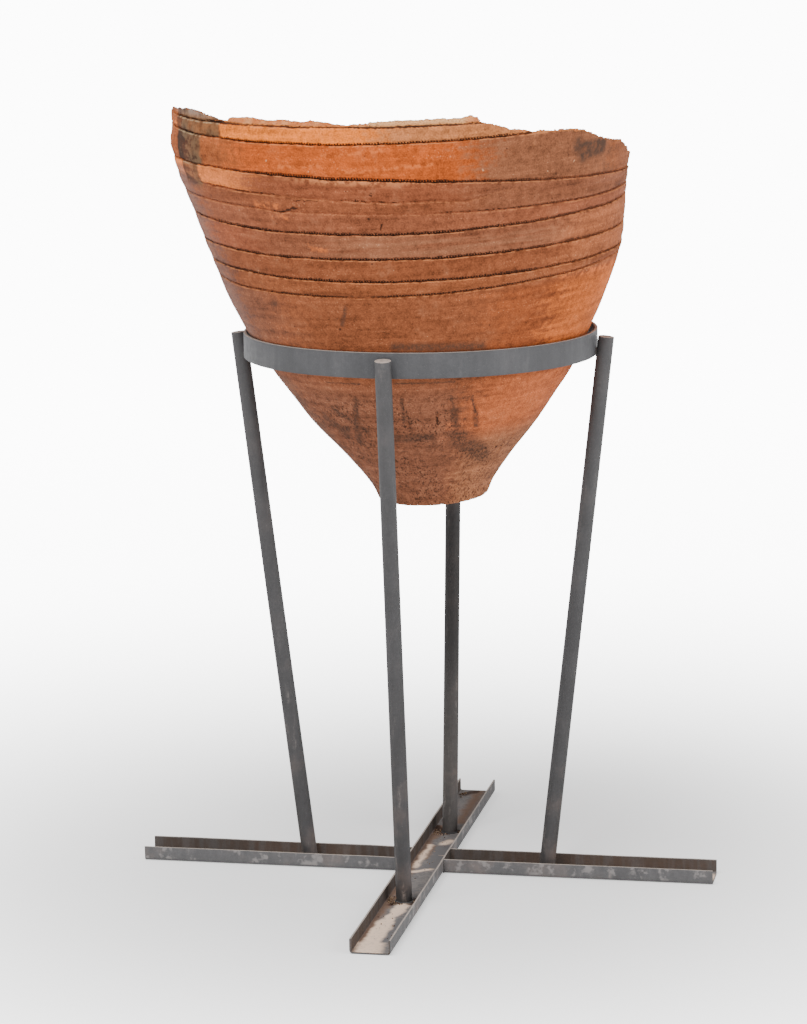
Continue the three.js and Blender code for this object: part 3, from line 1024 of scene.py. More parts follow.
    # Stain at the top left, smudge at the top right
    stain_angle = plus(angle, times(shake, 0.05))
    stain = nodes.most(*[
        times(sector(nodes, stain_angle, start, end, 0.012),
              window(nodes, band, low, high, soft), strength)
        for start, end, low, high, soft, strength in STAIN_FIELDS])
    greyer = times(turned(loose_angle, -57, -53), step(fine, 0.36, 0.56, 0.35, 1.0))
    base = mix(times(stain, step(cloud, 0.3, 0.6, 0.8, 1.0)), base,
               mix(greyer, STAIN_BROWN, STAIN_GREY))
    smudge = times(painted(nodes, spot, SMUDGE_MARKS), step(fine, 0.36, 0.56, 0.42, 0.95))
    base = mix(smudge, base, SMUDGE)

    # Painted highlights on the lower lips, soil and painted shade in the grooves, and the
    # plainer inside
    lip = times(mark("lip"), step(fine, 0.4, 0.56, 0.1, 0.85))
    base = mix(lip, base, mix(stain, LIP_HIGHLIGHT, colour(186, 158, 122)))
    jag = times(minus(nodes.noise(local, 260.0, 2.0, 0.6), 0.5), 1.3)
    soil_and_shade = step(plus(mark("shade_and_soil"), jag), 0.3, 0.7)
    paler = nodes.most(turned(angle, 30, 65, 0.92, 0.6), times(behind, 0.92))
    base = mix(times(soil_and_shade, paler), base, SOIL_AND_SHADE)
    base = mix(times(mark("inside"), 0.85), base, nodes.scaled(INSIDE_CLAY[:3], shade))

    # Broken clay, with a grey stretch at the right of the front and a darker left tip: partly
    # its own colour, partly painted shade against the strong light from above
    broken = mix(step(nodes.noise(local, 60.0), 0.42, 0.62), BROKEN_CLAY, BROKEN_PALE)
    broken = mix(times(window(nodes, angle, 0.04, 0.455, 0.012), 0.85), broken, BROKEN_GREY)
    broken = mix(times(turned(angle, -42, -52), turned(angle, -175, -125)), broken, BROKEN_TIP_SHADED)
    broken = mix(step(grit, 0.54, 0.66, 0.0, 0.6), broken, colour(120, 72, 48))
    base = mix(fresh, base, broken)
    # The skin at the left tip is darker too: painted shade against the strong light from above
    tip_shade = times(turned(angle, -61.5, -63), step(band, 8.6, 9.2), 0.9)
    base = mix(tip_shade, base, nodes.scaled(TIP_CLAY_SHADED[:3], shade))

    # Bump: wiping streaks, grain, small pits and the rough break
    lump = plus(times(streak, 0.7), times(fine, 0.8), times(grit, 0.5))
    lump = minus(lump, plus(times(pitting, 0.9), times(scars, 0.6)))
    lump = plus(lump, times(fresh, grit, 2.0))
    nodes.surface({"Base Color": base, "Roughness": 0.88, "Specular IOR Level": 0.08,
                   "Sheen Weight": 0.03, "Sheen Roughness": 0.5}, lump, 0.6, 0.0022)
    return material


clay = make_clay("fired_clay")
print("clay material:", len(clay.node_tree.nodes), "nodes")

# %% [markdown]
# ## The skin of the clay
#
# The rule gives a skin that is too smooth. On the real jar the cone is pitted and scarred,
# and the belly carries flat ripples from the wiping hand. A node tree moves each point
# along its normal by noise, weighted by the `rough` mark, so the damage is in the mesh and
# not only in the shading.

# %% Tree: pits and ripples in the skin
skin, given = start_tree("clay_skin", {
    "Pit size": float, "Pit depth": float, "Ripple depth": float, "Material": bpy.types.Material,
})
spot = skin.add("GeometryNodeInputPosition").outputs[0]
pits = skin.noise(spot, skin.math("DIVIDE", 1.0, given["Pit size"]), 2.0, 0.6)
pits = skin.step(pits, 0.56, 0.72)
pits = skin.times(pits, skin.mark("rough"), given["Pit depth"])
ripple = skin.minus(skin.stretched(spot, (7.0, 7.0, 70.0), 2.0, 0.5), 0.5)
ripple = skin.times(ripple, given["Ripple depth"], skin.minus(1.0, skin.mark("fresh")))
normal = skin.add("GeometryNodeInputNormal").outputs[0]
moved = skin.add("GeometryNodeSetPosition", {
    "Geometry": given["Geometry"], "Offset": skin.scaled(normal, skin.minus(ripple, pits)),
})
end_tree(skin, moved.outputs[0], given["Material"])

# %% Grow the pithos
pithos = grow("pithos_fine", jar_base, skin, {
    "Pit size": 0.011, "Pit depth": 0.0016, "Ripple depth": 0.0012, "Material": clay,
})
mark_jar_mesh(pithos.data)
hand_over(pithos, "clay", "pithos")

# %% [markdown]
# ## The print of the cord
#
# A twisted cord leaves a row of slanting teeth of clay between its strands. They are too
# small for the jar's own mesh, and there are thousands of them, so they are grown as
# copies of one small lump along the upper side of each groove, turned by the lay of the
# cord. Where the cord was slack, or where the break took the groove away, no path is laid.

# %% Paths along the grooves
TOOTH_RISE = 1.5
TOOTH_SUNK = 1.0
PATH_STEP = 1.0


def groove_paths():
    degrees = np.arange(0, FULL_TURN + PATH_STEP, PATH_STEP)
    top = edge_at(degrees)[0]
    paths = []
    for k in range(len(GROOVES)):
        level = level_at(k, degrees) + TOOTH_RISE
        radius = curve_at(OUTLINE, level) - TOOTH_SUNK
        path = seated(jar_point(degrees, level, radius))
        out = seated(jar_point(degrees, level, radius + 1000)) - path
        paths.append([])
        for spot, way, low, high, size in zip(path, out, level, top, strength_at(k, degrees)):
            if low < high - 5 and size > 0.4:
                paths[-1].append((spot, way / np.linalg.norm(way), min(1.0, float(size))))
            elif paths[-1]:
                paths.append([])
    return [path for path in paths if len(path) > 1]


def path_object(name, paths):
    # A path is a row of places, each with the way out from the surface and a size
    stops = [stop for path in paths for stop in path]
    edges, start = [], 0
    for path in paths:
        edges += [(start + k, start + k + 1) for k in range(len(path) - 1)]
        start += len(path)
    made = mesh_object(name, [spot for spot, out, size in stops], [], edges)
    facing = made.data.attributes.new("outward", "FLOAT_VECTOR", "POINT")
    facing.data.foreach_set("vector", np.array([s[1] for s in stops], np.float32).ravel())
    write_mark(made.data, "size", [size for spot, out, size in stops])
    return made


groove_lines = path_object("groove_lines", groove_paths())
print(len(groove_lines.data.edges), "degrees of groove with a cord print")

# %% Tree: lumps along a path, turned to face outward
lumps, given = start_tree("lumps_along_path", {
    "Spacing": float, "Lump": tuple, "Slant": float, "Uneven": float, "Seed": int,
    "Material": bpy.types.Material,
})
line = lumps.add("GeometryNodeMeshToCurve", {"Mesh": given["Geometry"]}).outputs[0]
stops = lumps.add("GeometryNodeCurveToPoints", {"Curve": line, "Length": given["Spacing"]},
                  mode="LENGTH").outputs
out, size = lumps.mark("outward", "FLOAT_VECTOR"), lumps.mark("size")
kept = lumps.add("GeometryNodeStoreNamedAttribute", {
    "Geometry": stops["Points"], "Name": "along", "Value": stops["Tangent"],
}, data_type="FLOAT_VECTOR", domain="POINT").outputs[0]
along = lumps.mark("along", "FLOAT_VECTOR")
facing = lumps.add("FunctionNodeAxesToRotation", {0: out, 1: along}, primary_axis="Z",
                   secondary_axis="X").outputs[0]
slant = lumps.add("FunctionNodeEulerToRotation",
                  {0: lumps.combine(0.0, 0.0, given["Slant"])}).outputs[0]
facing = lumps.add("FunctionNodeRotateRotation", {0: facing, 1: slant},
                   rotation_space="LOCAL").outputs[0]
lump = lumps.add("GeometryNodeMeshIcoSphere", {"Radius": 1.0, "Subdivisions": 1}).outputs[0]
smooth = lumps.add("GeometryNodeSetShadeSmooth", {"Geometry": lump}).outputs[0]
chance = lumps.add("FunctionNodeRandomValue", {
    2: lumps.minus(1.0, given["Uneven"]), 3: lumps.plus(1.0, given["Uneven"]),
    "Seed": given["Seed"],
}, data_type="FLOAT").outputs[1]
copies = lumps.add("GeometryNodeInstanceOnPoints", {
    "Points": kept, "Instance": smooth, "Rotation": facing,
    "Scale": lumps.scaled(given["Lump"], lumps.times(chance, size)),
}).outputs[0]
end_tree(lumps, copies, given["Material"])

# %% Grow the cord's teeth
cord_print = grow("cord_print", groove_lines, lumps, {
    "Spacing": 0.0046, "Lump": (0.0011, 0.0021, 0.0012), "Slant": 0.45, "Uneven": 0.25,
    "Seed": 4, "Material": clay,
})
mark_jar_mesh(cord_print.data)
# The cord's teeth get a little soil and painted shade
write_mark(cord_print.data, "shade_and_soil", np.full(len(cord_print.data.vertices), 0.35))
hand_over(cord_print, "clay")

# %% [markdown]
# ## Grains of the broken clay
#
# Coarse clay breaks round its grit, so the broken edge is granular. A second tree scatters
# grains over the faces it is given, each turned and sized at random. The same tree will
# later drop crumbs into the channel of the stand.

# %% Tree: rubble on faces
rubble, given = start_tree("rubble_on_faces", {
    "Density": float, "Grain": float, "Uneven": float, "Seed": int,
    "Material": bpy.types.Material,
})
spots = rubble.add("GeometryNodeDistributePointsOnFaces", {
    "Mesh": given["Geometry"], "Seed": given["Seed"],
    "Density": rubble.times(given["Density"], rubble.mark("many")),
}, distribute_method="RANDOM").outputs["Points"]
tumble = rubble.add("FunctionNodeRandomValue", {0: (0, 0, 0), 1: (6.28, 6.28, 6.28)},
                    data_type="FLOAT_VECTOR").outputs[0]
tumble = rubble.add("FunctionNodeEulerToRotation", {0: tumble}).outputs[0]
shape = rubble.add("FunctionNodeRandomValue", {
    0: (0.6, 0.6, 0.6), 1: (1.3, 1.3, 1.3), "Seed": 1,
}, data_type="FLOAT_VECTOR").outputs[0]
amount = rubble.add("FunctionNodeRandomValue", {
    2: rubble.minus(1.0, given["Uneven"]), 3: rubble.plus(1.0, given["Uneven"]),
}, data_type="FLOAT").outputs[1]
stone = rubble.add("GeometryNodeMeshIcoSphere", {"Radius": 1.0, "Subdivisions": 1}).outputs[0]
grains = rubble.add("GeometryNodeInstanceOnPoints", {
    "Points": spots, "Instance": stone, "Rotation": tumble,
    "Scale": rubble.scaled(shape, rubble.times(amount, given["Grain"])),
}).outputs[0]
end_tree(rubble, grains, given["Material"])

# %% Grow the grains of the break
strip = seated(grid[edge_row:edge_row + BREAK_ROWS].reshape(-1, 3))
break_strip = mesh_object("break_strip", strip, ring_faces(BREAK_ROWS, column_count))
write_mark(break_strip.data, "many", np.ones(len(break_strip.data.vertices)))
break_grains = grow("break_grains", break_strip, rubble, {
    "Density": 26000.0, "Grain": 0.0011, "Uneven": 0.5, "Seed": 3, "Material": clay,
})
mark_jar_mesh(break_grains.data)
hand_over(break_grains, "clay")

# %% [markdown]
# ## Painted steel
#
# The stand is cheap workshop steel under one thin coat of grey primer. Handling has worn
# the upper edges pale, and a painted highlight lies on them where they face the light
# above; the lower parts are scuffed and dusty, and rust and soil lie where the legs stand in
# the channel. One function makes the material, and each member gets its own tone, because
# the real ones differ a little; the back leg is darker still with painted shade from the
# jar above it, and paler towards its dusty foot.

# %% Marks on the channel's floor
# Place of one end and of the other, half width and softness of the edge, in millimetres
DUST_BEDS = [
    (-4, -480, -6, -446, 22, 0.3), (-9, -446, -8, -330, 15, 0.3),
    (-8, -330, 4, -232, 10, 0.4), (4, 128, 12, 148, 8, 0.8),
    (-20, -14, -18, 120, 5, 0.95), (-18, -42, 8, -24, 6, 0.8),
    (10, 62, 24, 60, 2, 0.5), (-300, 0, -150, 0, 24, 0.4), (150, 0, 480, 0, 24, 0.4),
]
CLEAN_STRIPS = [
    (7, -10, 7, 52, 12, 0.3), (7, 72, 6, 112, 12, 0.3), (14, -425, 14, -310, 4, 0.4),
]
SOIL_STRIPS = [
    (-27, -480, -27, -40, 8, 0.9), (-27, -40, -25, 160, 7, 0.9),
    (-24, -250, -20, -190, 9, 0.8), (-24, 160, -22, 240, 9, 0.8),
    (-18, 40, -14, 110, 9, 0.9), (8, 270, 6, 480, 10, 0.95),
]
RUST_HEAPS = [
    (-30, 241, -7, 199, 8, 0.6), (11, 208, 14, 214, 8, 0.5), (-16, -234, -12, -222, 7, 0.6),
    (18, -212, 22, -202, 11, 0.5), (14, -226, 20, -216, 6, 0.6), (-20, 455, 0, 480, 8, 0.6),
    (212, 14, 212, -14, 9, 0.6), (-212, 14, -212, -14, 9, 0.6), (-6, -81, -6, -80, 2, 0.3),
    (-25, -302, -25, -301, 2, 0.3),
]
# Each table with its strength and its colour, in the order in which they cover each other
FLOOR_MARKS = [
    (SOIL_STRIPS, 0.75, colour(128, 96, 74)), (DUST_BEDS, 1.0, colour(252, 222, 198)),
    (CLEAN_STRIPS, 0.9, colour(114, 112, 113)), (RUST_HEAPS, 0.9, colour(62, 42, 30)),
]

# %% The stand's material
# Heights over which the paint changes, in metres: the upper edges of the channel, which are
# worn pale and carry a painted highlight, the inside of its walls from above and from
# below, and its floor. Then the same for the distance from its middle line: the inside and
# the outside of its walls.
UPPER_EDGES = (0.0235, 0.0243)
WALLS_BELOW = (0.0245, 0.0235)
WALLS_ABOVE = (0.0018, 0.0024)
FLOOR_LEVEL = (0.0065, 0.0042)
WALL_INSIDE = (0.0330, 0.0318)
WALL_OUTSIDE = (0.0336, 0.0339)


def on_floor(x, y):
    return Vector((x, y, 0)) * MM


def make_paint(name, tone, scuffs, dusty=False, foot=None):
    material, nodes = new_material(name)
    step, mix, times = nodes.step, nodes.mix, nodes.times
    place = nodes.place()
    x, y, z = nodes.separate(place)
    cloud = nodes.noise(place, 14.0, 4.0, 0.6)
    fine = nodes.noise(place, 160.0, 4.0, 0.65)
    speck = nodes.noise(place, 700.0, 2.0, 0.5)
    brushed = nodes.stretched(place, (60.0, 60.0, 9.0))

    shade = 1.0
    for pattern, weight in ((cloud, 0.6), (brushed, 0.5), (fine, 0.5), (speck, 0.4)):
        shade = nodes.plus(shade, times(nodes.minus(pattern, 0.5), weight))
    base = nodes.scaled(tone[:3], shade)
    # Paler towards the foot with dust, below the painted shade of the back leg
    if foot:
        base = mix(step(z, 0.42, 0.12, 0.0, 0.8), base, nodes.scaled(foot[:3], shade))
    base = mix(step(speck, 0.68, 0.76, 0.0, 0.3), base, colour(150, 146, 142))

    # Pale scuffs, more of them lower down, and a pink bloom of dust
    low = step(z, 0.45, 0.0, 0.2, 1.0)
    scuff = times(step(brushed, 0.58, 0.76), step(fine, 0.35, 0.6), low, scuffs)
    base = mix(scuff, base, colour(160, 150, 145))
    bloom = times(step(cloud, 0.5, 0.75), low, 0.35 * scuffs)
    base = mix(bloom, base, colour(150, 128, 118))

    # Edges and ends that face up are worn pale and hold dust, with a painted highlight from
    # the light above
    up = nodes.separate(nodes.add("ShaderNodeNewGeometry").outputs["Normal"])[2]
    wear_and_highlight = times(step(up, 0.3, 0.8), step(z, *UPPER_EDGES), step(fine, 0.3, 0.6, 0.6, 1.0))
    base = mix(wear_and_highlight, base, colour(184, 172, 162))
    dull = step(fine, 0.3, 0.7, 0.5, 0.66)

    if dusty:
        # Inside the channel: dark walls, then soil, dust, wiped strips and rust on the floor
        across = nodes.math("MINIMUM", nodes.math("ABSOLUTE", x), nodes.math("ABSOLUTE", y))
        within = times(step(across, *WALL_INSIDE), step(z, *WALLS_BELOW), step(z, *WALLS_ABOVE))
        base = mix(times(within, step(brushed, 0.35, 0.6, 0.5, 0.95)), base, colour(86, 74, 66))
        floor = times(step(z, *FLOOR_LEVEL), step(up, 0.5, 0.8), within)
        base = mix(floor, base,
                   mix(step(fine, 0.4, 0.6), colour(116, 113, 113), colour(136, 130, 127)))
        spot = nodes.vector("ADD", place, nodes.shift(place, 45.0, 0.016, 4.0))
        spot = nodes.vector("MULTIPLY", spot, (1.0, 1.0, 0.0))
        for marks, weight, paint in FLOOR_MARKS:
            share = times(painted(nodes, spot, marks, on_floor), floor, weight,
                          step(fine, 0.3, 0.55, 0.75, 1.0))
            base = mix(share, base, paint)
        dull = nodes.most(dull, times(within, 0.9))
        smear = step(nodes.noise(place, 46.0, 3.0, 0.6), 0.54, 0.66)
        smear = times(smear, step(across, *WALL_OUTSIDE), 0.65)
        base = mix(smear, base, colour(164, 158, 156))

    lump = nodes.plus(times(fine, 0.6), times(speck, 0.35))
    nodes.surface({"Base Color": base, "Roughness": dull, "Specular IOR Level": 0.3},
                  lump, 0.35, 0.0008)
    return material


hoop_paint = make_paint("hoop_paint", colour(77, 77, 79), 0.3)
leg_paint = make_paint("leg_paint", colour(73, 72, 73), 0.7)
# The back leg's dark tone is painted shade from the jar above it
back_leg_paint_shaded = make_paint("back_leg_paint_shaded", colour(47, 45, 45), 0.7,
                            foot=colour(92, 88, 86))
channel_paint = make_paint("channel_paint", colour(104, 103, 104), 0.9, dusty=True)

# %% [markdown]
# ## Bars swept along paths
#
# A hoop of flat bar, a round leg and a rolled channel are all one section carried along a
# path, so one tree makes them all: it resamples the path, sweeps the section, closes the
# ends and bends the result a little, as real steel is never quite straight.


# %% Helper: a section outline with rounded corners
def rounded(corners, radii, steps):
    outline = []
    for k, radius in enumerate(radii):
        corner = Vector(corners[k])
        before = (Vector(corners[k - 1]) - corner).normalized()
        after = (Vector(corners[(k + 1) % len(corners)]) - corner).normalized()
        half = before.angle(after) / 2
        reach = radius / math.tan(half)
        middle = corner + (before + after).normalized() * (radius / math.sin(half))
        first = (corner + before * reach - middle).normalized()
        last = (corner + after * reach - middle).normalized()
        outline += [middle + first.slerp(last, step / steps) * radius
                    for step in range(steps + 1)]
    return outline


def loop_object(name, outline):
    # A sweep hangs a section upside down, so its up is turned over first
    count = len(outline)
    return mesh_object(name, [(p[0], -p[1], 0) for p in outline], [],
                       [(k, (k + 1) % count) for k in range(count)])


# %% Tree: a section swept along a path
# In metres: the length of a bend, and the heights between which a bar that lies on the
# floor becomes free to bend
BEND_LENGTH = 0.09
FREE_FROM = (0.004, 0.02)
sweep, given = start_tree("section_along_path", {
    "Section": bpy.types.Object, "Spacing": float, "Bend": float,
    "Material": bpy.types.Material,
})
path = sweep.add("GeometryNodeMeshToCurve", {"Mesh": given["Geometry"]}).outputs[0]
path = sweep.add("GeometryNodeResampleCurve", {"Curve": path, "Length": given["Spacing"]},
                 mode="LENGTH").outputs[0]
path = sweep.add("GeometryNodeSetCurveNormal", {"Curve": path}, mode="Z_UP")
section = sweep.add("GeometryNodeObjectInfo", {"Object": given["Section"]}).outputs["Geometry"]
section = sweep.add("GeometryNodeMeshToCurve", {"Mesh": section}).outputs[0]
bar = sweep.add("GeometryNodeCurveToMesh", {
    "Curve": path.outputs[0], "Profile Curve": section, "Fill Caps": True,
}).outputs[0]
spot = sweep.add("GeometryNodeInputPosition").outputs[0]
waves = sweep.shift(spot, 1 / BEND_LENGTH, given["Bend"], 1.0)
free = sweep.step(sweep.separate(spot)[2], *FREE_FROM)
bent = sweep.add("GeometryNodeSetPosition", {
    "Geometry": bar, "Offset": sweep.scaled(waves, free),
}).outputs[0]
end_tree(sweep, bent, given["Material"])

# %% Helper: sweep, then turn the faces outward
MERGE = 1e-6
CREASE = math.radians(40)


def swept(name, path_points, closed, outline, bend, material, spacing):
    section = loop_object(name + "_section", outline)
    count = len(path_points)
    edges = [(k, (k + 1) % count) for k in range(count if closed else count - 1)]
    path = mesh_object(name + "_path", path_points, [], edges)
    made = grow(name, path, sweep, {
        "Section": section, "Spacing": spacing, "Bend": bend, "Material": material,
    })
    bpy.data.objects.remove(section)
    faces_outward(made.data)
    return made


def faces_outward(mesh):
    shape = bmesh.new()
    shape.from_mesh(mesh)
    bmesh.ops.remove_doubles(shape, verts=shape.verts, dist=MERGE)
    bmesh.ops.recalc_face_normals(shape, faces=shape.faces)
    if shape.calc_volume(signed=True) < 0:
        bmesh.ops.reverse_faces(shape, faces=shape.faces)
    for edge in shape.edges:
        edge.smooth = len(edge.link_faces) == 2 and edge.calc_face_angle(0) < CREASE
    for face in shape.faces:
        face.smooth = True
    shape.to_mesh(mesh)
    shape.free()


def on_circle(sides, radius=1.0):
    angles = [2 * math.pi * k / sides for k in range(sides)]
    return [(radius * math.cos(a), radius * math.sin(a)) for a in angles]


# %% The hoop
BAR_HEIGHT = 0.042
BAR_THICKNESS = 0.005
BAR_ROUND = 0.0009
HOOP_SIDES = 288
hoop_low, hoop_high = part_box("ring_band")
hoop_outer = (hoop_high.x - hoop_low.x) / 2
hoop_middle = hoop_outer - BAR_THICKNESS / 2
half_t, half_h = BAR_THICKNESS / 2, BAR_HEIGHT / 2
bar_outline = rounded([(-half_t, -half_h), (half_t, -half_h), (half_t, half_h),
                       (-half_t, half_h)], [BAR_ROUND] * 4, 3)
circle = [(x, y, HOOP_TOP * MM - half_h) for x, y in on_circle(HOOP_SIDES, hoop_middle)]
hoop = swept("ring_band_fine", circle, True, bar_outline, 0.0006, hoop_paint, 0.0065)
hand_over(hoop, "ring_paint", "ring_band")

# %% The four legs
LEG_RADIUS = 0.01345
LEG_FOOT_RADIUS = 0.209
LEG_FOOT_LEVEL = 0.0033
LEG_TOP = 0.935
LEG_END_ROUND = 0.0012
LEG_END_ANGLES = (0.5, 1.05, 1.5708)
LEG_SIDES = 40
LEG_RINGS = 60
CLEARANCE = 0.0003
leg_lean = math.atan((hoop_outer + (LEG_RADIUS + CLEARANCE) - LEG_FOOT_RADIUS)
                     / (HOOP_TOP * MM - BAR_HEIGHT - LEG_FOOT_LEVEL))


def quarter_turn(quarter):
    return Matrix.Rotation(quarter * math.pi / 2, 3, "Z")


def leg_mesh(name, quarter, paint):
    # Rings along the leg, each with its place and its share of the radius. The first lies
    # flat on the channel's floor, and the last ones round the upper end off.
    length = (LEG_TOP - LEG_FOOT_LEVEL) / math.cos(leg_lean)
    along = [(0.0, 1.0)]
    along += [(length * (k + 1) / LEG_RINGS - LEG_END_ROUND, 1.0) for k in range(LEG_RINGS)]
    along += [(length - LEG_END_ROUND * (1 - math.sin(a)), 1 - LEG_END_ROUND / LEG_RADIUS
               * (1 - math.cos(a))) for a in LEG_END_ANGLES]
    turned = quarter_turn(quarter)
    lean = Matrix.Rotation(leg_lean, 3, "Y")
    points = []
    for up, share in along:
        for x, y in on_circle(LEG_SIDES):
            flat = Vector((x, y, 0)) * LEG_RADIUS * share
            spot = lean @ (flat + Vector((0, 0, up)))
            if up == 0.0:
                spot -= (lean @ Vector((0, 0, 1))) * (spot.z / math.cos(leg_lean))
            points.append(turned @ (spot + Vector((LEG_FOOT_RADIUS, 0, LEG_FOOT_LEVEL))))
    faces = ring_faces(len(along), LEG_SIDES)
    faces.append(range(LEG_SIDES - 1, -1, -1))
    faces.append(range((len(along) - 1) * LEG_SIDES, len(along) * LEG_SIDES))
    made = mesh_object(name, points, faces)
    made.data.materials.append(paint)
    faces_outward(made.data)
    return made


for quarter, side in enumerate(("right", "back", "left", "front")):
    leg = leg_mesh(f"leg_{side}_fine", quarter, back_leg_paint_shaded if side == "back" else leg_paint)
    hand_over(leg, "leg_paint", f"leg_{side}")


# %% The cross of channel
CHANNEL_WIDTH = 0.068
CHANNEL_HEIGHT = 0.025
CHANNEL_WALL = 0.003
ARM_SIDE = 0.500
ARM_LONG = 0.488
ARM_START = 0.0343
half_w = CHANNEL_WIDTH / 2
inner_w = half_w - CHANNEL_WALL
channel_outline = rounded(
    [(-half_w, 0), (half_w, 0), (half_w, CHANNEL_HEIGHT), (inner_w, CHANNEL_HEIGHT),
     (inner_w, CHANNEL_WALL), (-inner_w, CHANNEL_WALL), (-inner_w, CHANNEL_HEIGHT),
     (-half_w, CHANNEL_HEIGHT)],
    [0.006] * 2 + [0.0008] * 2 + [0.003] * 2 + [0.0008] * 2, 5)
arms = {
    "channel_long": ((0, -ARM_LONG, 0), (0, ARM_LONG, 0)),
    "channel_right": ((ARM_START, 0, 0), (ARM_SIDE, 0, 0)),
    "channel_left": ((-ARM_START, 0, 0), (-ARM_SIDE, 0, 0)),
}
for node, ends in arms.items():
    arm = swept(node + "_fine", ends, False, channel_outline, 0.0016, channel_paint, 0.01)
    hand_over(arm, "channel_paint", node)


# %% [markdown]
# ## Welds and crumbs
#
# Each joint of the stand is a short bead of overlapping drops, so the tree that laid the
# cord's teeth lays them too. Crumbs of clay and rust have gathered round the feet of the
# legs, and a few lie along the channel.

# %% Weld beads
# A bead round each foot, two up the hoop beside each leg, and one in each inner corner of
# the cross
FOOT_BEAD = 0.0148
FOOT_BEAD_LEVEL = 0.0036
FOOT_BEAD_STEPS = 24
HOOP_BEAD_OUT = 0.0010
HOOP_BEAD_ASIDE = 0.0062
HOOP_BEAD_LONG = 0.012
CORNER_BEAD = 0.0345
CORNER_BEAD_LEVEL = 0.002
CORNER_BEAD_STEP = 0.004
SHORT_BEAD_STEPS = 5


def weld_paths():
    paths = []
    hoop_bottom = HOOP_TOP * MM - BAR_HEIGHT
    for quarter in range(4):
        turned = quarter_turn(quarter)

        def stop(spot, out):
            return turned @ Vector(spot), turned @ Vector(out).normalized(), 1.0

        ring = on_circle(FOOT_BEAD_STEPS)
        paths.append([stop((LEG_FOOT_RADIUS + FOOT_BEAD * x, FOOT_BEAD * y, FOOT_BEAD_LEVEL),
                           (x, y, 1)) for x, y in ring + ring[:1]])
        for side in (-1, 1):
            paths.append([stop((hoop_outer + HOOP_BEAD_OUT, side * HOOP_BEAD_ASIDE,
                                hoop_bottom + HOOP_BEAD_LONG * k / SHORT_BEAD_STEPS),
                               (0.5, side, 0)) for k in range(SHORT_BEAD_STEPS + 1)])
    for x in (-1, 1):
        for y in (-1, 1):
            paths.append([(Vector((CORNER_BEAD * x, CORNER_BEAD * y,
                                   CORNER_BEAD_LEVEL + CORNER_BEAD_STEP * k)),
                           Vector((x, y, 0)).normalized(), 1.0)
                          for k in range(SHORT_BEAD_STEPS + 1)])
    return paths


welds = grow("weld_beads", path_object("weld_lines", weld_paths()), lumps, {
    "Spacing": 0.0016, "Lump": (0.0012, 0.0019, 0.0010), "Slant": 0.0, "Uneven": 0.2,
    "Seed": 8, "Material": leg_paint,
})
hand_over(welds, "leg_paint")


# %% Crumbs round the feet
def make_crumb_clay(name):
    material, nodes = new_material(name)
    which = nodes.noise(nodes.place(), 330.0, 1.0, 0.5)
    base = nodes.mix(nodes.step(which, 0.42, 0.5), colour(58, 42, 32), colour(122, 94, 70))
    base = nodes.mix(nodes.step(which, 0.54, 0.6), base, colour(190, 166, 142))
    nodes.surface({"Base Color": base, "Roughness": 0.95, "Specular IOR Level": 0.05})
    return material


# Place of each heap, its half sizes in millimetres and how thick the crumbs lie
HEAPS = [
    (-21, -206, 8, 18, 1), (-10, -227, 12, 7, 0.8), (18, -206, 5, 7, 1.2),
    (-22, 204, 7, 22, 1), (-8, 189, 12, 6, 0.8), (18, 208, 5, 7, 1.2),
    (212, 20, 16, 6, 1), (-212, 20, 16, 6, 1), (212, -19, 14, 5, 0.6),
    (-212, -19, 14, 5, 0.6), (-20, 452, 6, 20, 0.6), (0, -300, 26, 150, 0.02),
    (0, 60, 26, 110, 0.02), (300, 0, 160, 24, 0.02), (-300, 0, 160, 24, 0.02),
]
HEAP_SIDES = 16
CHANNEL_FLOOR = 0.0033
spots = [((x + half_x * across) * MM, (y + half_y * along) * MM, CHANNEL_FLOOR)
         for x, y, half_x, half_y, share in HEAPS for across, along in on_circle(HEAP_SIDES)]
faces = [range(k, k + HEAP_SIDES) for k in range(0, len(spots), HEAP_SIDES)]
heaps = mesh_object("heaps", spots, faces)
write_mark(heaps.data, "many", np.repeat([heap[-1] for heap in HEAPS], HEAP_SIDES))
crumbs = grow("crumbs", heaps, rubble, {
    "Density": 130000.0, "Grain": 0.00095, "Uneven": 0.6, "Seed": 5,
    "Material": make_crumb_clay("crumb_clay"),
})
hand_over(crumbs, "clay")

# %% [markdown]
# ## Floor, light and camera
#
# The jar was photographed on white under broad soft light, from a little above and to the
# right. A pale floor, an even sky, a large panel overhead and a weak one at the right do
# the same. The camera repeats the photograph's place, direction and lens.

# %% Floor
# Away from the object the floor is lit from behind, like a white studio sweep. The camera
# sees that glow sooner and brighter than the object does, so it lights nothing from below.
FLOOR_HALF = 40.0
FLOOR_DROP = -0.0004
GLOW_FROM = 0.9
GLOW_FULL = 5.5
GLOW = 2.4
SEEN_FROM = 0.25
SEEN_FULL = 2.8
SEEN = 9.0
SEEN_NEAR = 0.5
ground = mesh_object("floor", [
    (FLOOR_HALF * x, FLOOR_HALF * y, FLOOR_DROP) for x, y in ((-1, -1), (1, -1), (1, 1), (-1, 1))
], [(0, 1, 2, 3)])
floor_material, nodes = new_material("pale_floor")
away = nodes.measure("LENGTH", nodes.place())
seen = nodes.add("ShaderNodeLightPath").outputs["Is Camera Ray"]
seen = nodes.times(seen, nodes.step(away, SEEN_FROM, SEEN_FULL, SEEN_NEAR, SEEN))
far = nodes.plus(seen, nodes.step(away, GLOW_FROM, GLOW_FULL, 0.0, GLOW))
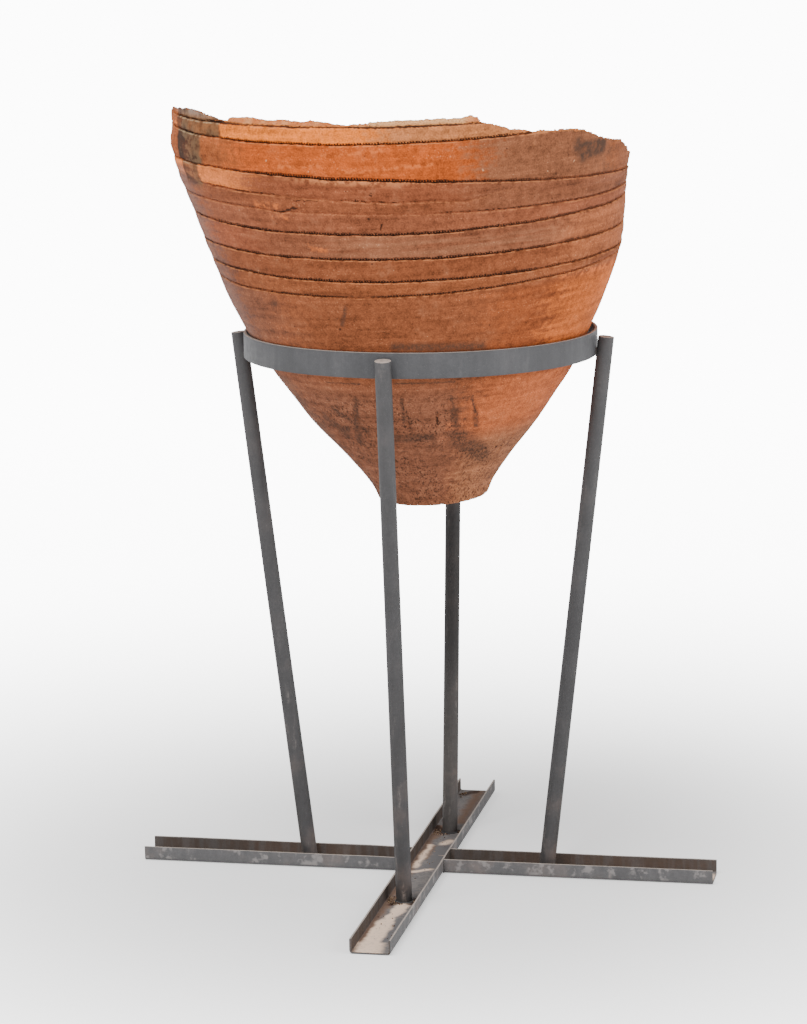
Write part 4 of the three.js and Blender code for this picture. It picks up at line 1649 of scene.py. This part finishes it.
nodes.surface({"Base Color": (0.92, 0.92, 0.92, 1), "Roughness": 0.9,
               "Specular IOR Level": 0.1, "Emission Color": (1, 1, 1, 1),
               "Emission Strength": far})
ground.data.materials.append(floor_material)
ground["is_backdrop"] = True

# %% Light
# The sky lights evenly. Seen straight, above a low camera's horizon, it is the sweep's white
SKY = 0.51
world = bpy.data.worlds.new("studio")
bpy.context.scene.world = world
world.use_nodes = True
sky = world.node_tree.nodes["Background"]
sky.inputs["Color"].default_value = (1.0, 1.0, 1.0, 1)
nodes = Nodes(world.node_tree)
seen = nodes.add("ShaderNodeLightPath").outputs["Is Camera Ray"]
nodes.feed(sky.inputs["Strength"], nodes.step(seen, 0.0, 1.0, SKY, SEEN + GLOW))


def panel(name, place, aim, size, power):
    data = bpy.data.lights.new(name, "AREA")
    data.shape = "SQUARE"
    data.size = size
    data.energy = power
    lamp = bpy.data.objects.new(name, data)
    bpy.context.scene.collection.objects.link(lamp)
    lamp.location = place
    lamp.rotation_mode = "QUATERNION"
    lamp.rotation_quaternion = (Vector(aim) - Vector(place)).to_track_quat("-Z", "Y")


panel("main_panel", (-0.8, -2.1, 4.3), (0, 0, 0.6), 2.4, 158)
panel("side_panel", (3.0, -1.2, 1.9), (0, 0, 0.8), 1.8, 45)

# %% Camera
camera_data = bpy.data.cameras.new("photo_camera")
camera_data.sensor_fit = "AUTO"
camera_data.sensor_width = 36
camera_data.lens = 119.08
camera_data.shift_x = -0.01914
camera_data.shift_y = 0.0004
camera = bpy.data.objects.new("photo_camera", camera_data)
bpy.context.scene.collection.objects.link(camera)
camera.matrix_world = (
    Matrix.Translation((1.09904, -5.56363, 1.71808))
    @ Matrix.Rotation(0.195018, 4, "Z")
    @ Matrix.Rotation(math.pi / 2 - 0.189932, 4, "X")
    @ Matrix.Rotation(-0.0136606, 4, "Z")
)
bpy.context.scene.camera = camera

# %% Write the sizes and finish
low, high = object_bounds()
print("visual box:", [round(c, 3) for c in low], [round(c, 3) for c in high])
